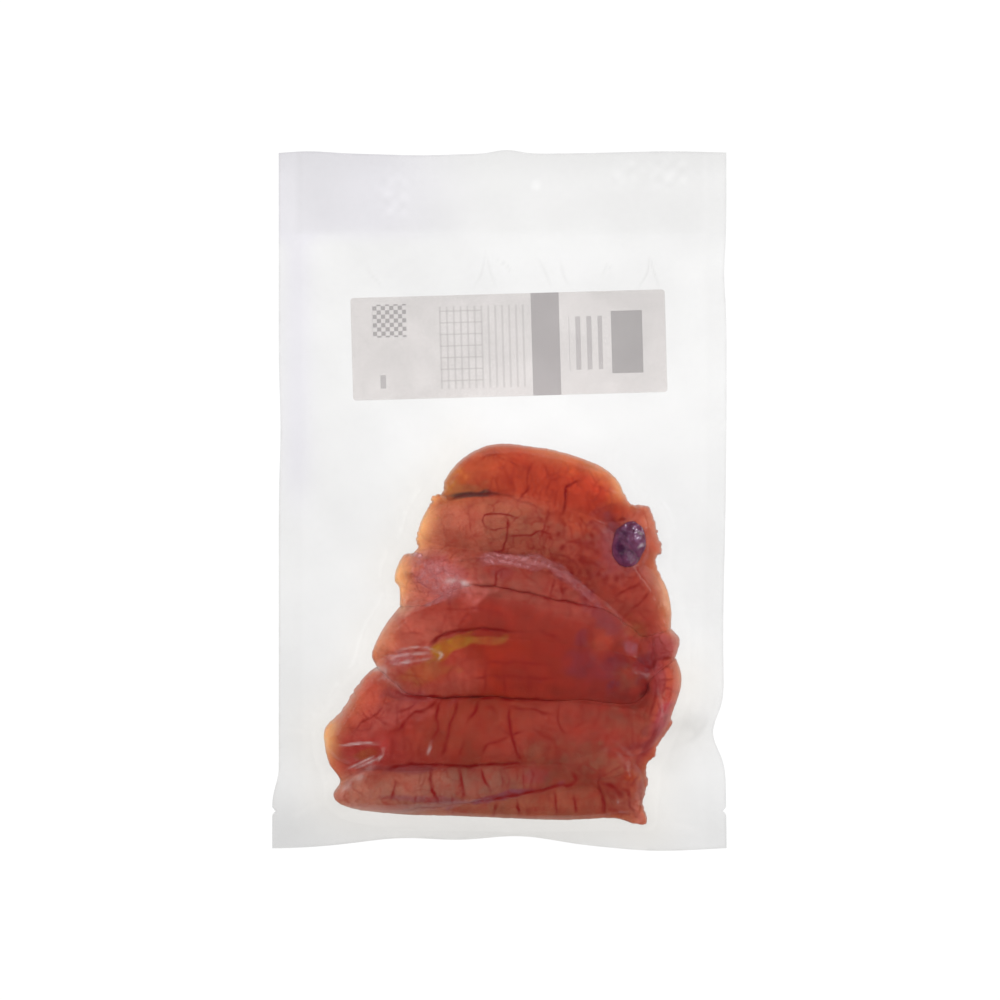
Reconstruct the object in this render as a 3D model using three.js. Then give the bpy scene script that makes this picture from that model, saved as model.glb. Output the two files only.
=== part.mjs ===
// A vacuum-sealed clear pouch of fish roe, lying flat on a table, with a paper label stuck to its underside.
// Units are millimetres. +Z is up, +Y points to the pouch's mouth, +X to the right as seen from above.
// The origin is the middle of the pouch's outline, on the table.
import * as THREE from 'three';

// The pouch: a clear bag of two films, welded at its sides and foot and heat-sealed below its mouth
const POUCH_WIDTH = 200;
const POUCH_LENGTH = 310.4;
const FILM_PAIR = 0.5; // the two films and the little air between them
const NOTCH_FROM_FOOT = 16; // where the tear notches are
const NOTCH_DEPTH = 1.8;
const NOTCH_HALF = 1.2;

// The label: a printed paper strip under the pouch, a little askew
const LABEL_WIDTH = 141;
const LABEL_DEPTH = 46;
const LABEL_THICKNESS = 0.3;
const LABEL_CENTRE = [4, 69.5];
const LABEL_TURN = THREE.MathUtils.degToRad(1.6);
const LABEL_CORNER = 1.5;
const ADHESIVE = 0.05;

// Where the film lifts off the table: over the label, and round the foot of the roe
const LABEL_RAMP_FROM = 30;
const LABEL_RAMP_TO = 38;
const SKIRT_RISE = 5;
const SKIRT_OUTWARD = 11;
const SKIRT_INWARD = 9;
const LOBE_BLEND = 5;
const LEAST_LIFT = 0.03;

// The roe: lobes side by side, each a bent, tapering sausage from one tip through a middle point to the other tip
const WAIST = 0.32; // share of a lobe's height at which it is widest
const CROWN = 2.3; // 2 is a round back, more is a flatter one that the film has pressed
const LOBE_STEPS = 48;
const LOBES = [
  { name: 'crown', from: [-21.5, 2.5], via: [9, 11.5], to: [58, -5], width: 27, height: 25, blunt: 4 },
  { name: 'shoulder', from: [-33.5, -13.5], via: [28, -16.5], to: [71, -60], width: 29, height: 27, blunt: 4 },
  { name: 'flap', from: [60, -3], via: [63, -16], to: [66, -31], width: 15, height: 17, blunt: 3 },
  { name: 'pale', from: [-43, -34], via: [0, -36], to: [63, -63], width: 23, height: 27, blunt: 4 },
  { name: 'arch', from: [-52, -68], via: [-9, -51], to: [63, -69], width: 24, height: 29, blunt: 3 },
  { name: 'heart', from: [-54, -80], via: [5, -73.5], to: [70, -85], width: 31, height: 30.5, blunt: 4 },
  { name: 'belly', from: [-73, -108], via: [-9, -102.5], to: [67, -104], width: 34, height: 30, blunt: 4 },
  { name: 'keel', from: [-71, -130.5], via: [-18, -127.5], to: [45, -120], width: 20, height: 26, blunt: 4 },
  { name: 'hem', from: [-47, -137], via: [14, -134], to: [60, -134.5], width: 16, height: 21, blunt: 3 },
  { name: 'corner', from: [20, -112], via: [46, -117], to: [56, -136], width: 22, height: 25, blunt: 4 },
  { name: 'knuckle', from: [68, -50], via: [73, -62], to: [74, -76], width: 12, height: 20, blunt: 3 },
  { name: 'rib', from: [71, -68], via: [73, -86], to: [61, -112], width: 13, height: 19, blunt: 4 },
  { name: 'tail', from: [54, -132], via: [59.5, -136], to: [64, -143], width: 8, height: 10, blunt: 2 },
];

// How the film drapes: it bridges hollows and sinks by this much at each step, as the vacuum pulls it down
const DRAPE_ROUNDS = 60;
const DRAPE_PULL = 0.55;
const STIFFNESS_ROUNDS = 2;

// The mesh: fine over the roe, coarse over the flat film. Its underside has every second line of its top, so the
// cells come out even both ways: one fine row gives way to the three at the tear notches.
const ROE_HALF_WIDTH = 84;
const ROE_FOOT = -150;
const ROE_HEAD = 32;
const FINE_CELLS_ACROSS = 40;
const FINE_CELLS_ALONG = 44;
const MARGIN_CELLS_ACROSS = 2;
const HEAD_CELLS = 13;

// Soft lifts of the free film, each a rounded hill: place, reach across and along, height
const LIFTS = [
  { at: [99, -103], reach: [15, 17], height: 7 },
  { at: [-101, -150], reach: [18, 16], height: 3 },
  { at: [-40, -156], reach: [24, 9], height: 3 },
  { at: [12, -156], reach: [18, 9], height: 3.5 },
  { at: [101, -152], reach: [20, 13], height: 2.5 },
  { at: [-101, 35], reach: [10, 34], height: 2.5 },
  { at: [101, 62], reach: [9, 46], height: 2 },
  { at: [-36, 157], reach: [26, 15], height: 3 },
  { at: [40, 157], reach: [18, 12], height: 1.6 },
];

const bell = (t, centre, reach) => Math.exp(-(((t - centre) / reach) ** 2));
const notch = (y, foot) => Math.max(0, 1 - Math.abs(y - foot - NOTCH_FROM_FOOT) / NOTCH_HALF) * NOTCH_DEPTH;
const FOOT_Y = -POUCH_LENGTH / 2;
const HEAD_Y = POUCH_LENGTH / 2;

// The pouch's four edges wave where the film lifts, and its foot flares below the tear notches
function leftEdge(y) {
  const flare = 2.8 * THREE.MathUtils.smoothstep(-y, 120, 136);
  return -POUCH_WIDTH / 2 + 0.8 + 0.9 * bell(y, 32, 22) - flare + notch(y, FOOT_Y);
}

function rightEdge(y) {
  const dents = 5.6 * bell(y, -104, 11) + 1.4 * bell(y, -62, 50) + bell(y, 101, 14);
  return POUCH_WIDTH / 2 + 1.5 - dents - notch(y, FOOT_Y);
}

function footEdge(x) {
  return FOOT_Y + 3.9 * bell(x, -42, 26) + 4.8 * bell(x, 8, 24) - 2 * bell(x, 74, 26) - 0.8 * bell(x, -101, 26);
}

function headEdge(x) {
  return HEAD_Y + 1.1 * bell(x, -86, 14) - 0.9 * bell(x, -36, 20) + 1.7 * bell(x, 3, 8) + 1.1 * bell(x, 76, 30);
}

// Points along a lobe's middle line, with its half width and its share of full height at each
function lobeStations({ from, via, to, width, blunt }) {
  const start = new THREE.Vector2(...from);
  const end = new THREE.Vector2(...to);
  const pull = new THREE.Vector2(...via).multiplyScalar(2).sub(start.clone().add(end).multiplyScalar(0.5));
  const line = new THREE.QuadraticBezierCurve(start, pull, end);
  const stations = [];
  for (let i = 1; i < LOBE_STEPS; i++) {
    const s = i / LOBE_STEPS;
    const fullness = Math.sqrt(1 - Math.abs(2 * s - 1) ** blunt);
    stations.push({ point: line.getPoint(s), half: (width / 2) * fullness, fullness });
  }
  return stations;
}

const lobes = LOBES.map((lobe) => ({ ...lobe, stations: lobeStations(lobe) }));

// The height of the lobes' backs over a point, or 0 beside them
function roeTop(x, y) {
  let top = 0;
  for (const { height, stations } of lobes) {
    const waist = WAIST * height;
    for (const { point, half, fullness } of stations) {
      const away = Math.hypot(x - point.x, y - point.y) / half;
      if (away < 1) {
        const rise = (height - waist) * fullness * (1 - away ** CROWN) ** (1 / CROWN);
        top = Math.max(top, waist + rise);
      }
    }
  }
  return top;
}

// How far a point lies outside the roe's outline; less than 0 inside it. Neighbouring lobes blend into one.
function fromRoe(x, y) {
  let sum = 0;
  for (const { stations } of lobes) {
    const away = stations.map(({ point, half }) => Math.hypot(x - point.x, y - point.y) - half);
    sum += Math.exp(-Math.min(...away) / LOBE_BLEND);
  }
  return -LOBE_BLEND * Math.log(sum);
}

// The lower film: on the table under the roe, lifted round the roe's foot, over the label and at the waves
function lowerFilm(x, y) {
  const away = fromRoe(x, y);
  const fade = away > 0 ? bell(away, 0, SKIRT_OUTWARD) : Math.max(0, 1 + away / SKIRT_INWARD) ** 2;
  const skirt = SKIRT_RISE * fade;
  const overLabel = (LABEL_THICKNESS + ADHESIVE) * THREE.MathUtils.smoothstep(y, LABEL_RAMP_FROM, LABEL_RAMP_TO);
  let lift = 0;
  for (const { at, reach, height } of LIFTS) {
    lift += height * bell(x, at[0], reach[0]) * bell(y, at[1], reach[1]);
  }
  return Math.max(skirt < LEAST_LIFT ? 0 : skirt, overLabel) + (lift < LEAST_LIFT ? 0 : lift);
}

// Evenly spaced values from one end to the other, without the last
function spaced(from, to, cells) {
  return Array.from({ length: cells }, (_, i) => from + ((to - from) * i) / cells);
}

const half = POUCH_WIDTH / 2;
const columns = [
  ...spaced(-half, -ROE_HALF_WIDTH, MARGIN_CELLS_ACROSS),
  ...spaced(-ROE_HALF_WIDTH, ROE_HALF_WIDTH, FINE_CELLS_ACROSS),
  ...spaced(ROE_HALF_WIDTH, half, MARGIN_CELLS_ACROSS),
  half,
];
const notchY = FOOT_Y + NOTCH_FROM_FOOT;
const fineRows = spaced(ROE_FOOT, ROE_HEAD, FINE_CELLS_ALONG);
const rowsByNotch = fineRows.filter((y) => Math.abs(y - notchY) > 2 * NOTCH_HALF);
const rows = [
  FOOT_Y,
  ...rowsByNotch,
  notchY - NOTCH_HALF,
  notchY,
  notchY + NOTCH_HALF,
  ...spaced(ROE_HEAD, HEAD_Y, HEAD_CELLS),
  HEAD_Y,
].sort((a, b) => a - b);

// The underside has only the even lines of the grid. A point between them is the mean of its two even neighbours,
// which lie in the same flat face of the underside.
function fillBetween(grid, keys) {
  for (const [j, row] of grid.entries()) {
    for (const [i, point] of row.entries()) {
      const before = grid[j - (j % 2)][i - (i % 2)];
      const after = grid[j + (j % 2)][i + (i % 2)];
      for (const key of keys) point[key] = (before[key] + after[key]) / 2;
    }
  }
}

// Stretches a square grid of points to the pouch's waving outline, whose middle is the origin
function pouchGrid() {
  const grid = rows.map((v) =>
    columns.map((u) => ({
      x: THREE.MathUtils.mapLinear(u, -half, half, leftEdge(v), rightEdge(v)),
      y: THREE.MathUtils.mapLinear(v, FOOT_Y, HEAD_Y, footEdge(u), headEdge(u)),
    })),
  );
  fillBetween(grid, ['x', 'y']);
  for (const axis of ['x', 'y']) {
    const values = grid.flat().map((point) => point[axis]);
    const middle = (Math.min(...values) + Math.max(...values)) / 2;
    for (const point of grid.flat()) point[axis] -= middle;
  }
  return grid;
}

function layLowerFilm(grid) {
  for (const point of grid.flat()) point.low = lowerFilm(point.x, point.y);
  fillBetween(grid, ['low']);
}

// Visits every point inside the rim with the mean height of the four points around it
function eachInside(grid, visit) {
  for (let j = 1; j < grid.length - 1; j++) {
    for (let i = 1; i < columns.length - 1; i++) {
      const around = grid[j - 1][i].high + grid[j + 1][i].high + grid[j][i - 1].high + grid[j][i + 1].high;
      visit(grid[j][i], around / 4);
    }
  }
}

// The upper film starts on the lobes and the lower film, tightens over the hollows, and its stiffness rounds it
function drapeUpperFilm(grid) {
  for (const row of grid) {
    for (const point of row) {
      point.rest = Math.max(roeTop(point.x, point.y), point.low) + FILM_PAIR;
      point.high = point.rest;
    }
  }
  for (let round = 0; round < DRAPE_ROUNDS; round++) {
    eachInside(grid, (point, around) => {
      point.high = Math.max(point.rest, around - DRAPE_PULL);
    });
  }
  for (let round = 0; round < STIFFNESS_ROUNDS; round++) {
    eachInside(grid, (point, around) => {
      point.high = Math.max(point.low + FILM_PAIR, (2 * point.high + around) / 3);
    });
  }
}

// Joins the draped top, the coarser underside and the rim into one closed solid
function sealedPouch() {
  const grid = pouchGrid();
  layLowerFilm(grid);
  drapeUpperFilm(grid);
  const positions = [];
  const faces = [];
  const corner = (point, level) => positions.push(point.x, point.y, point[level]) / 3 - 1;
  const top = grid.map((row) => row.map((point) => corner(point, 'high')));
  const under = grid.map((row, j) => row.map((point, i) => (j % 2 || i % 2 ? -1 : corner(point, 'low'))));
  const lastRow = rows.length - 1;
  const lastColumn = columns.length - 1;
  for (let j = 0; j < lastRow; j++) {
    for (let i = 0; i < lastColumn; i++) {
      faces.push(top[j][i], top[j][i + 1], top[j + 1][i + 1]);
      faces.push(top[j][i], top[j + 1][i + 1], top[j + 1][i]);
    }
  }
  for (let j = 0; j < lastRow; j += 2) {
    for (let i = 0; i < lastColumn; i += 2) {
      faces.push(under[j][i], under[j + 2][i + 2], under[j][i + 2]);
      faces.push(under[j][i], under[j + 2][i], under[j + 2][i + 2]);
    }
  }
  // One stretch of rim: two steps on the top edge over one step on the lower edge, walked anticlockwise from above
  const rim = (a, middle, b, lowA, lowB) => faces.push(lowA, middle, a, lowA, lowB, middle, lowB, b, middle);
  for (let i = 0; i < lastColumn; i += 2) {
    rim(top[0][i], top[0][i + 1], top[0][i + 2], under[0][i], under[0][i + 2]);
    const [a, b] = [under[lastRow][i + 2], under[lastRow][i]];
    rim(top[lastRow][i + 2], top[lastRow][i + 1], top[lastRow][i], a, b);
  }
  for (let j = 0; j < lastRow; j += 2) {
    rim(top[j + 2][0], top[j + 1][0], top[j][0], under[j + 2][0], under[j][0]);
    const [a, b] = [under[j][lastColumn], under[j + 2][lastColumn]];
    rim(top[j][lastColumn], top[j + 1][lastColumn], top[j + 2][lastColumn], a, b);
  }
  const geometry = new THREE.BufferGeometry();
  geometry.setAttribute('position', new THREE.Float32BufferAttribute(positions, 3));
  geometry.setIndex(faces);
  geometry.computeVertexNormals();
  return geometry;
}

// A thin strip with slightly rounded corners
function labelStrip() {
  const [x, y] = [LABEL_WIDTH / 2, LABEL_DEPTH / 2];
  const r = LABEL_CORNER;
  const outline = new THREE.Shape();
  outline.moveTo(-x + r, -y);
  outline.lineTo(x - r, -y).absarc(x - r, -y + r, r, -Math.PI / 2, 0);
  outline.lineTo(x, y - r).absarc(x - r, y - r, r, 0, Math.PI / 2);
  outline.lineTo(-x + r, y).absarc(-x + r, y - r, r, Math.PI / 2, Math.PI);
  outline.lineTo(-x, -y + r).absarc(-x + r, -y + r, r, Math.PI, Math.PI * 1.5);
  return new THREE.ExtrudeGeometry(outline, { depth: LABEL_THICKNESS, bevelEnabled: false, curveSegments: 4 });
}

function named(name, geometry, colour, roughness) {
  const mesh = new THREE.Mesh(geometry, new THREE.MeshStandardMaterial({ color: colour, roughness, metalness: 0 }));
  mesh.name = name;
  return mesh;
}

const pouchOfRoe = new THREE.Group();
pouchOfRoe.add(named('sealed_pouch', sealedPouch(), 0xe6d3cc, 0.25));

const label = named('label', labelStrip(), 0xdcd7d5, 0.7);
label.position.set(...LABEL_CENTRE, 0);
label.rotation.z = LABEL_TURN;
pouchOfRoe.add(label);

export default pouchOfRoe;
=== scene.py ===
# %% [markdown]
# # A vacuum-sealed pouch of fish roe
# The real thing is about half a kilo of raw fish roe, drawn tight between two clear films. It lies on its
# labelled side, so the paper label shows from behind, through the films. The CAD model gives one plain
# solid for the pouch and one thin slab for the label. This script keeps the label and replaces the pouch
# with what is really there: lobes of roe with their veins, a blood clot, thin skins, and the two films
# draped over and under them.

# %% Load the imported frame
import math

import bpy
import numpy as np
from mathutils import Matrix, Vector
from mathutils.kdtree import KDTree


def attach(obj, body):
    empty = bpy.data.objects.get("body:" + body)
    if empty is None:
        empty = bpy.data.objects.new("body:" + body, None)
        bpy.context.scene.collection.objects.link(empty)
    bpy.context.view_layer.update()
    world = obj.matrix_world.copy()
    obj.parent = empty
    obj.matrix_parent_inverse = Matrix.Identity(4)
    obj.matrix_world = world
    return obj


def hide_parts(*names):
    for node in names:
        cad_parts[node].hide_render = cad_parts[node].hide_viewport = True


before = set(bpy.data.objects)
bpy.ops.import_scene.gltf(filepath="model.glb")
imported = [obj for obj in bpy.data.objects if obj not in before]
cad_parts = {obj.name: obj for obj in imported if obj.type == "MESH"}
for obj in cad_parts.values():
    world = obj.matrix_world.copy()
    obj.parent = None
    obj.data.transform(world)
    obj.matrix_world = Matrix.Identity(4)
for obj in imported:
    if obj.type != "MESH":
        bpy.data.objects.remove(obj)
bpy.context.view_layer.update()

# %% [markdown]
# ## Sizes
# Everything below is written in millimetres, as a maker would measure it, and turned to metres once, when
# a mesh is made. The origin is the middle of the pouch on the table, +Y points to the pouch's mouth.

# %% Units, and smooth noise
MM = 0.001
WAVES = 9  # sine waves in one field of noise


def bell(t, centre, reach):
    """A smooth hill of height 1."""
    return np.exp(-(((t - centre) / reach) ** 2))


def ramp(t, low, high):
    """0 below low, 1 above high, and a soft S between them."""
    t = np.clip((t - low) / (high - low), 0, 1)
    return t * t * (3 - 2 * t)


def ripples(points, size, seed):
    """Smooth noise, mostly from -1 to 1, with bumps about `size` mm across, the same on every run."""
    random = np.random.default_rng(seed)
    total = np.zeros(points.shape[:-1])
    for _ in range(WAVES):
        direction = random.normal(size=points.shape[-1])
        direction /= np.linalg.norm(direction)
        wavelength = size * random.uniform(1.4, 3.2)
        total += np.sin(points @ direction * math.tau / wavelength + random.uniform(0, math.tau))
    return total / math.sqrt(WAVES)


# %% [markdown]
# ## The camera
# The photograph looks straight down. A long lens, high up, keeps the tall roe from leaning outwards, as a
# careful catalogue photographer would want.

# %% Place the camera
VIEW_WIDTH = 448.4  # what the frame shows at the table
LENS = 135
SENSOR = 36

camera_data = bpy.data.cameras.new("camera")
camera_data.lens = LENS
camera_data.sensor_width = SENSOR
camera = bpy.data.objects.new("camera", camera_data)
camera.location = (0, 0, VIEW_WIDTH * LENS / SENSOR * MM)
bpy.context.scene.collection.objects.link(camera)
bpy.context.scene.camera = camera
bpy.context.scene.view_settings.view_transform = "Standard"
print("camera height in metres:", round(camera.location.z, 3))

# %% [markdown]
# ## Materials begin with two helpers
# Colours are written as the hex values that a paint program shows. Blender mixes light, so one function
# turns them into linear values. A second small function adds a shader node, sets it and links it in one
# go.


# %% Colour and node helpers
def linear(code):
    """A linear RGBA colour from an sRGB hex code such as '#B0432E'."""
    channels = [int(code[i : i + 2], 16) / 255 for i in (1, 3, 5)]
    return [c / 12.92 if c <= 0.04045 else ((c + 0.055) / 1.055) ** 2.4 for c in channels] + [1.0]


def new_material(name):
    material = bpy.data.materials.new(name)
    material.use_nodes = True
    material.node_tree.nodes.clear()
    return material


def add_node(material, kind, values=None, links=None, **settings):
    """Adds a node, sets its inputs from values, feeds them from other nodes' outputs and sets its options."""
    node = material.node_tree.nodes.new(kind)
    for key, value in settings.items():
        setattr(node, key, value)
    for key, value in (values or {}).items():
        node.inputs[key].default_value = value
    for key, source in (links or {}).items():
        material.node_tree.links.new(source, node.inputs[key])
    return node


# %% [markdown]
# ## The roe's outline and creases
# Fresh roe comes in long sacs. Folded into a pouch they lie side by side like fingers, and the vacuum
# presses them into one flat cake with thin creases. Separate bodies that only touch would leave deep gaps
# between them, so the cake is one relief, cut into three sacs. Its outline and its creases are drawn as
# they look from above.

# %% The cake's edge and its creases
EDGES = {
    "top": [
        (-44.6, -47.5), (-44.8, -39.5), (-46.9, -36), (-46.4, -31.5), (-44.4, -27), (-42, -24),
        (-38.2, -23.3), (-36.2, -20.6), (-37.2, -17.5), (-35.6, -10.5), (-33.2, -5.5), (-30.6, -1.5),
        (-30.4, 1.3), (-25.6, 3.2), (-25, 7.5), (-21.5, 13.5), (-14.5, 20), (-5.5, 24.2), (4, 25),
        (12, 24), (24, 22.2), (37, 18.3), (46.5, 14), (52.5, 8.5), (56, 1.5), (59, -2), (65.5, -2.8),
        (68, -6.5), (70.5, -15.5), (72.2, -23.5), (69.6, -25.2), (70.3, -31), (74.5, -40), (76.3, -49),
        (76.2, -57.2)],
    "right": [
        (76.2, -57.2), (80.1, -62.5), (78.3, -70.2)],
    "foot": [
        (78.3, -70.2), (80.7, -77.5), (80.3, -85), (76.4, -96.5), (76.6, -100.2), (70.6, -109),
        (69, -114), (65, -119.2), (65.9, -125.5), (63.8, -135.5), (65.5, -143.8), (60.5, -144.5),
        (50.4, -141.9), (29, -142.7), (5, -142), (-18, -141), (-42, -140.3), (-63, -138.2), (-72, -135),
        (-74.2, -131), (-71.3, -125), (-76.4, -117), (-78.5, -106), (-77, -100.5), (-71, -94.5),
        (-64, -83.5), (-59, -77.5), (-55, -74.4)],
    "left": [
        (-55, -74.4), (-57, -69), (-55, -63), (-50.5, -55), (-44.6, -47.5)],
}
# lip is half a groove's width in mm, dark is how much painted shade darkens its middle, and along scales both
# from one end to the other
CREASES = {
    "high": dict(lip=1.1, dark=0.5, along=(0.1, 0.1, 0.4, 1, 1, 1, 0.9, 0.4, 0.1, 0.05, 0.1), points=[
        (-44.6, -47.5), (-34, -46.5), (-24, -41.5), (-12, -38), (-1, -38.5), (9, -40.5), (21, -43.5),
        (33, -45.5), (46, -48.5), (56, -55), (64, -60.5), (70, -59), (76.2, -57.2)]),
    "low": dict(lip=1.6, dark=0.5, along=(0.3, 0.5, 0.8, 1, 1, 1, 0.7, 0.3, 0.12, 0.3, 0.6, 0.2), points=[
        (-55, -74.4), (-50.5, -77.8), (-45.5, -81.5), (-41, -85.6), (-30, -87.3), (-9, -87.5), (6.5, -88),
        (26, -88.5), (46, -89.3), (58, -90.3), (64, -86), (66.5, -80), (72, -75), (78.3, -70.2)]),
    "crown": dict(lip=1.6, dark=0.6, along=(1, 1, 1, 1, 0.8, 0.7, 0.5, 0), points=[
        (-25.6, 3.2), (-22.5, 0.3), (-18, 1.5), (-13.5, 2.5), (-2.5, 2.5), (3.5, 1.5), (8, 0), (13.5, -2),
        (19.5, -5), (28, -7.5)]),
    "shoulder": dict(lip=0.9, dark=0.25, along=(0.5, 0.3, 0.8, 1, 1, 0.6, 0.2, 0), points=[
        (-38.2, -23.3), (-30, -26), (-18, -27), (-9, -26), (-3, -24.2), (8, -24.5), (20, -26), (29, -31),
        (40, -40.5)]),
    "arch": dict(lip=1.3, dark=0.6, along=(0.3, 0.3, 0.5, 1, 1, 1, 0.7, 0.3, 0), points=[
        (-55.5, -66), (-47, -67), (-38, -66.5), (-31, -64), (-27, -60.5), (-19.5, -58), (-8, -57),
        (5.5, -58.5), (18, -58), (26, -61.5)]),
    "keel": dict(lip=1.3, dark=0.5, along=(0.4, 0.5, 0.8, 1, 1, 1, 0), points=[
        (-71.4, -125), (-62, -120.5), (-50, -119), (-38, -117), (-14, -117.5), (11, -116), (20, -115)]),
    "hem": dict(lip=1, dark=0.45, along=(0, 0.6, 1, 1, 1, 1, 0.8, 0.3), points=[
        (-62, -138), (-52, -139), (-31, -135.7), (-12, -133.5), (4, -131), (14, -128.5), (27.5, -126),
        (33.5, -124.5), (36, -121)]),
    "corner": dict(lip=0.8, dark=0.2, along=(0.5, 0.8, 1, 1, 0.5), points=[
        (65, -121), (57, -121), (47, -123), (43, -125), (45.5, -132), (47, -142)]),
    "flap": dict(lip=0.5, dark=0.1, along=(0.6, 0.5, 0.4, 1, 1), points=[
        (56.5, 0.5), (52, -6), (49, -13), (49.5, -22), (53, -29), (60, -31), (70, -27)]),
}


def smooth_line(points, spacing=1.0):
    """A soft curve through the points, as points about `spacing` mm apart."""
    points = np.array(points, float)
    points = np.vstack([2 * points[0] - points[1], points, 2 * points[-1] - points[-2]])
    pieces = []
    for a, b, c, d in zip(points, points[1:], points[2:], points[3:]):
        t = np.linspace(0, 1, max(2, int(np.linalg.norm(c - b) / spacing)), endpoint=False)[:, None]
        bend, swing = 2 * a - 5 * b + 4 * c - d, 3 * b - a - 3 * c + d
        pieces.append(0.5 * (2 * b + (c - a) * t + bend * t**2 + swing * t**3))
    return np.vstack(pieces + [points[-2:-1]])


def close_to(line, xy, margin):
    """Which points lie in the box round a line, with a margin in mm: the rest needn't be measured."""
    return np.all((xy > line.min(0) - margin) & (xy < line.max(0) + margin), axis=1)


def line_distance(xy, line):
    """Distance from points to the nearest stretch of a line, and how far along it that is."""
    best = np.full(len(xy), np.inf)
    way = np.zeros(len(xy))
    for number, (a, b) in enumerate(zip(line, line[1:])):
        t = np.clip((xy - a) @ (b - a) / max((b - a) @ (b - a), 1e-9), 0, 1)
        distance = np.hypot(*(xy - a - t[:, None] * (b - a)).T)
        closer = distance < best
        best[closer] = distance[closer]
        way[closer] = (number + t[closer]) / (len(line) - 1)
    return best, way


def nearest_on(ring, xy):
    """The nearest of a ring's close-set points to each point, and the distance to it."""
    tree = KDTree(len(ring))
    for number, point in enumerate(ring):
        tree.insert((*point, 0), number)
    tree.balance()
    found = [tree.find((*point, 0)) for point in xy]
    return ring[[hit[1] for hit in found]], np.array([hit[2] for hit in found])


def depth_inside(ring, xy):
    """How deep points lie inside a closed ring, in mm, or less than 0 outside. A ray counts its crossings."""
    crossings = np.zeros(len(xy), int)
    x, y = xy.T
    for (x0, y0), (x1, y1) in zip(ring, np.roll(ring, -1, axis=0)):
        spans = (y0 > y) != (y1 > y)
        crossings[spans] += x[spans] < x0 + (y[spans] - y0) * (x1 - x0) / (y1 - y0)
    distance = nearest_on(ring, xy)[1]
    return np.where(crossings % 2 == 1, distance, -distance)


def wander(line, size, seeds):
    """Smooth noise in two directions for the points of a line."""
    return np.stack([ripples(line, size, seed) for seed in seeds], axis=1)


EDGE_SPACING = 0.15
ROUGH_EDGES = [((68, -15), 17), ((-36, -21), 8), ((-66, -90), 13), ((67, -125), 17), ((-29, 1), 6)]
ROUGHNESS = ((1.1, 0.32), (2.6, 0.34))  # size and reach of the torn edge's teeth, in mm
LEAST_ROUGH = 0.15
CREASE_WANDER = 0.45
edge_lines = {}
for number, (name, points) in enumerate(EDGES.items()):
    line = smooth_line(points, EDGE_SPACING)[:-1]
    ragged = sum(reach * wander(line, size, (61 + number, 71 + number)) for size, reach in ROUGHNESS)
    rough = np.max([bell(np.hypot(*(line - at).T), 0, reach) for at, reach in ROUGH_EDGES], axis=0)
    rough = LEAST_ROUGH + (1 - LEAST_ROUGH) * rough
    rough *= np.sin(math.pi * np.linspace(0, 1, len(line))) ** 0.3  # the ends stay, so that edges meet
    edge_lines[name] = line + ragged * rough[:, None]
for number, crease in enumerate(CREASES.values()):
    line = smooth_line(crease["points"], EDGE_SPACING)
    free = np.sin(math.pi * np.linspace(0, 1, len(line)))[:, None] ** 0.5
    crease["line"] = line + CREASE_WANDER * wander(line, 5, (31 + number, 41 + number)) * free
high_crease, low_crease = CREASES["high"]["line"], CREASES["low"]["line"]
outline = np.vstack([edge_lines[name] for name in ("top", "right", "foot", "left")])
SACS = {
    "roe_sac_upper": [edge_lines["top"], high_crease[:0:-1]],
    "roe_sac_middle": [high_crease[:-1], edge_lines["right"], low_crease[:0:-1], edge_lines["left"]],
    "roe_sac_lower": [low_crease[:-1], edge_lines["foot"]],
}
print("outline:", len(outline), "points; creases:", ", ".join(CREASES))

# %% [markdown]
# ## The lobes
# Under the creases each lobe still swells. A bent middle line, a width, a height, and ends that are more
# or less blunt steer a round back, which gets its own tones from its start to its end.

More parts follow.
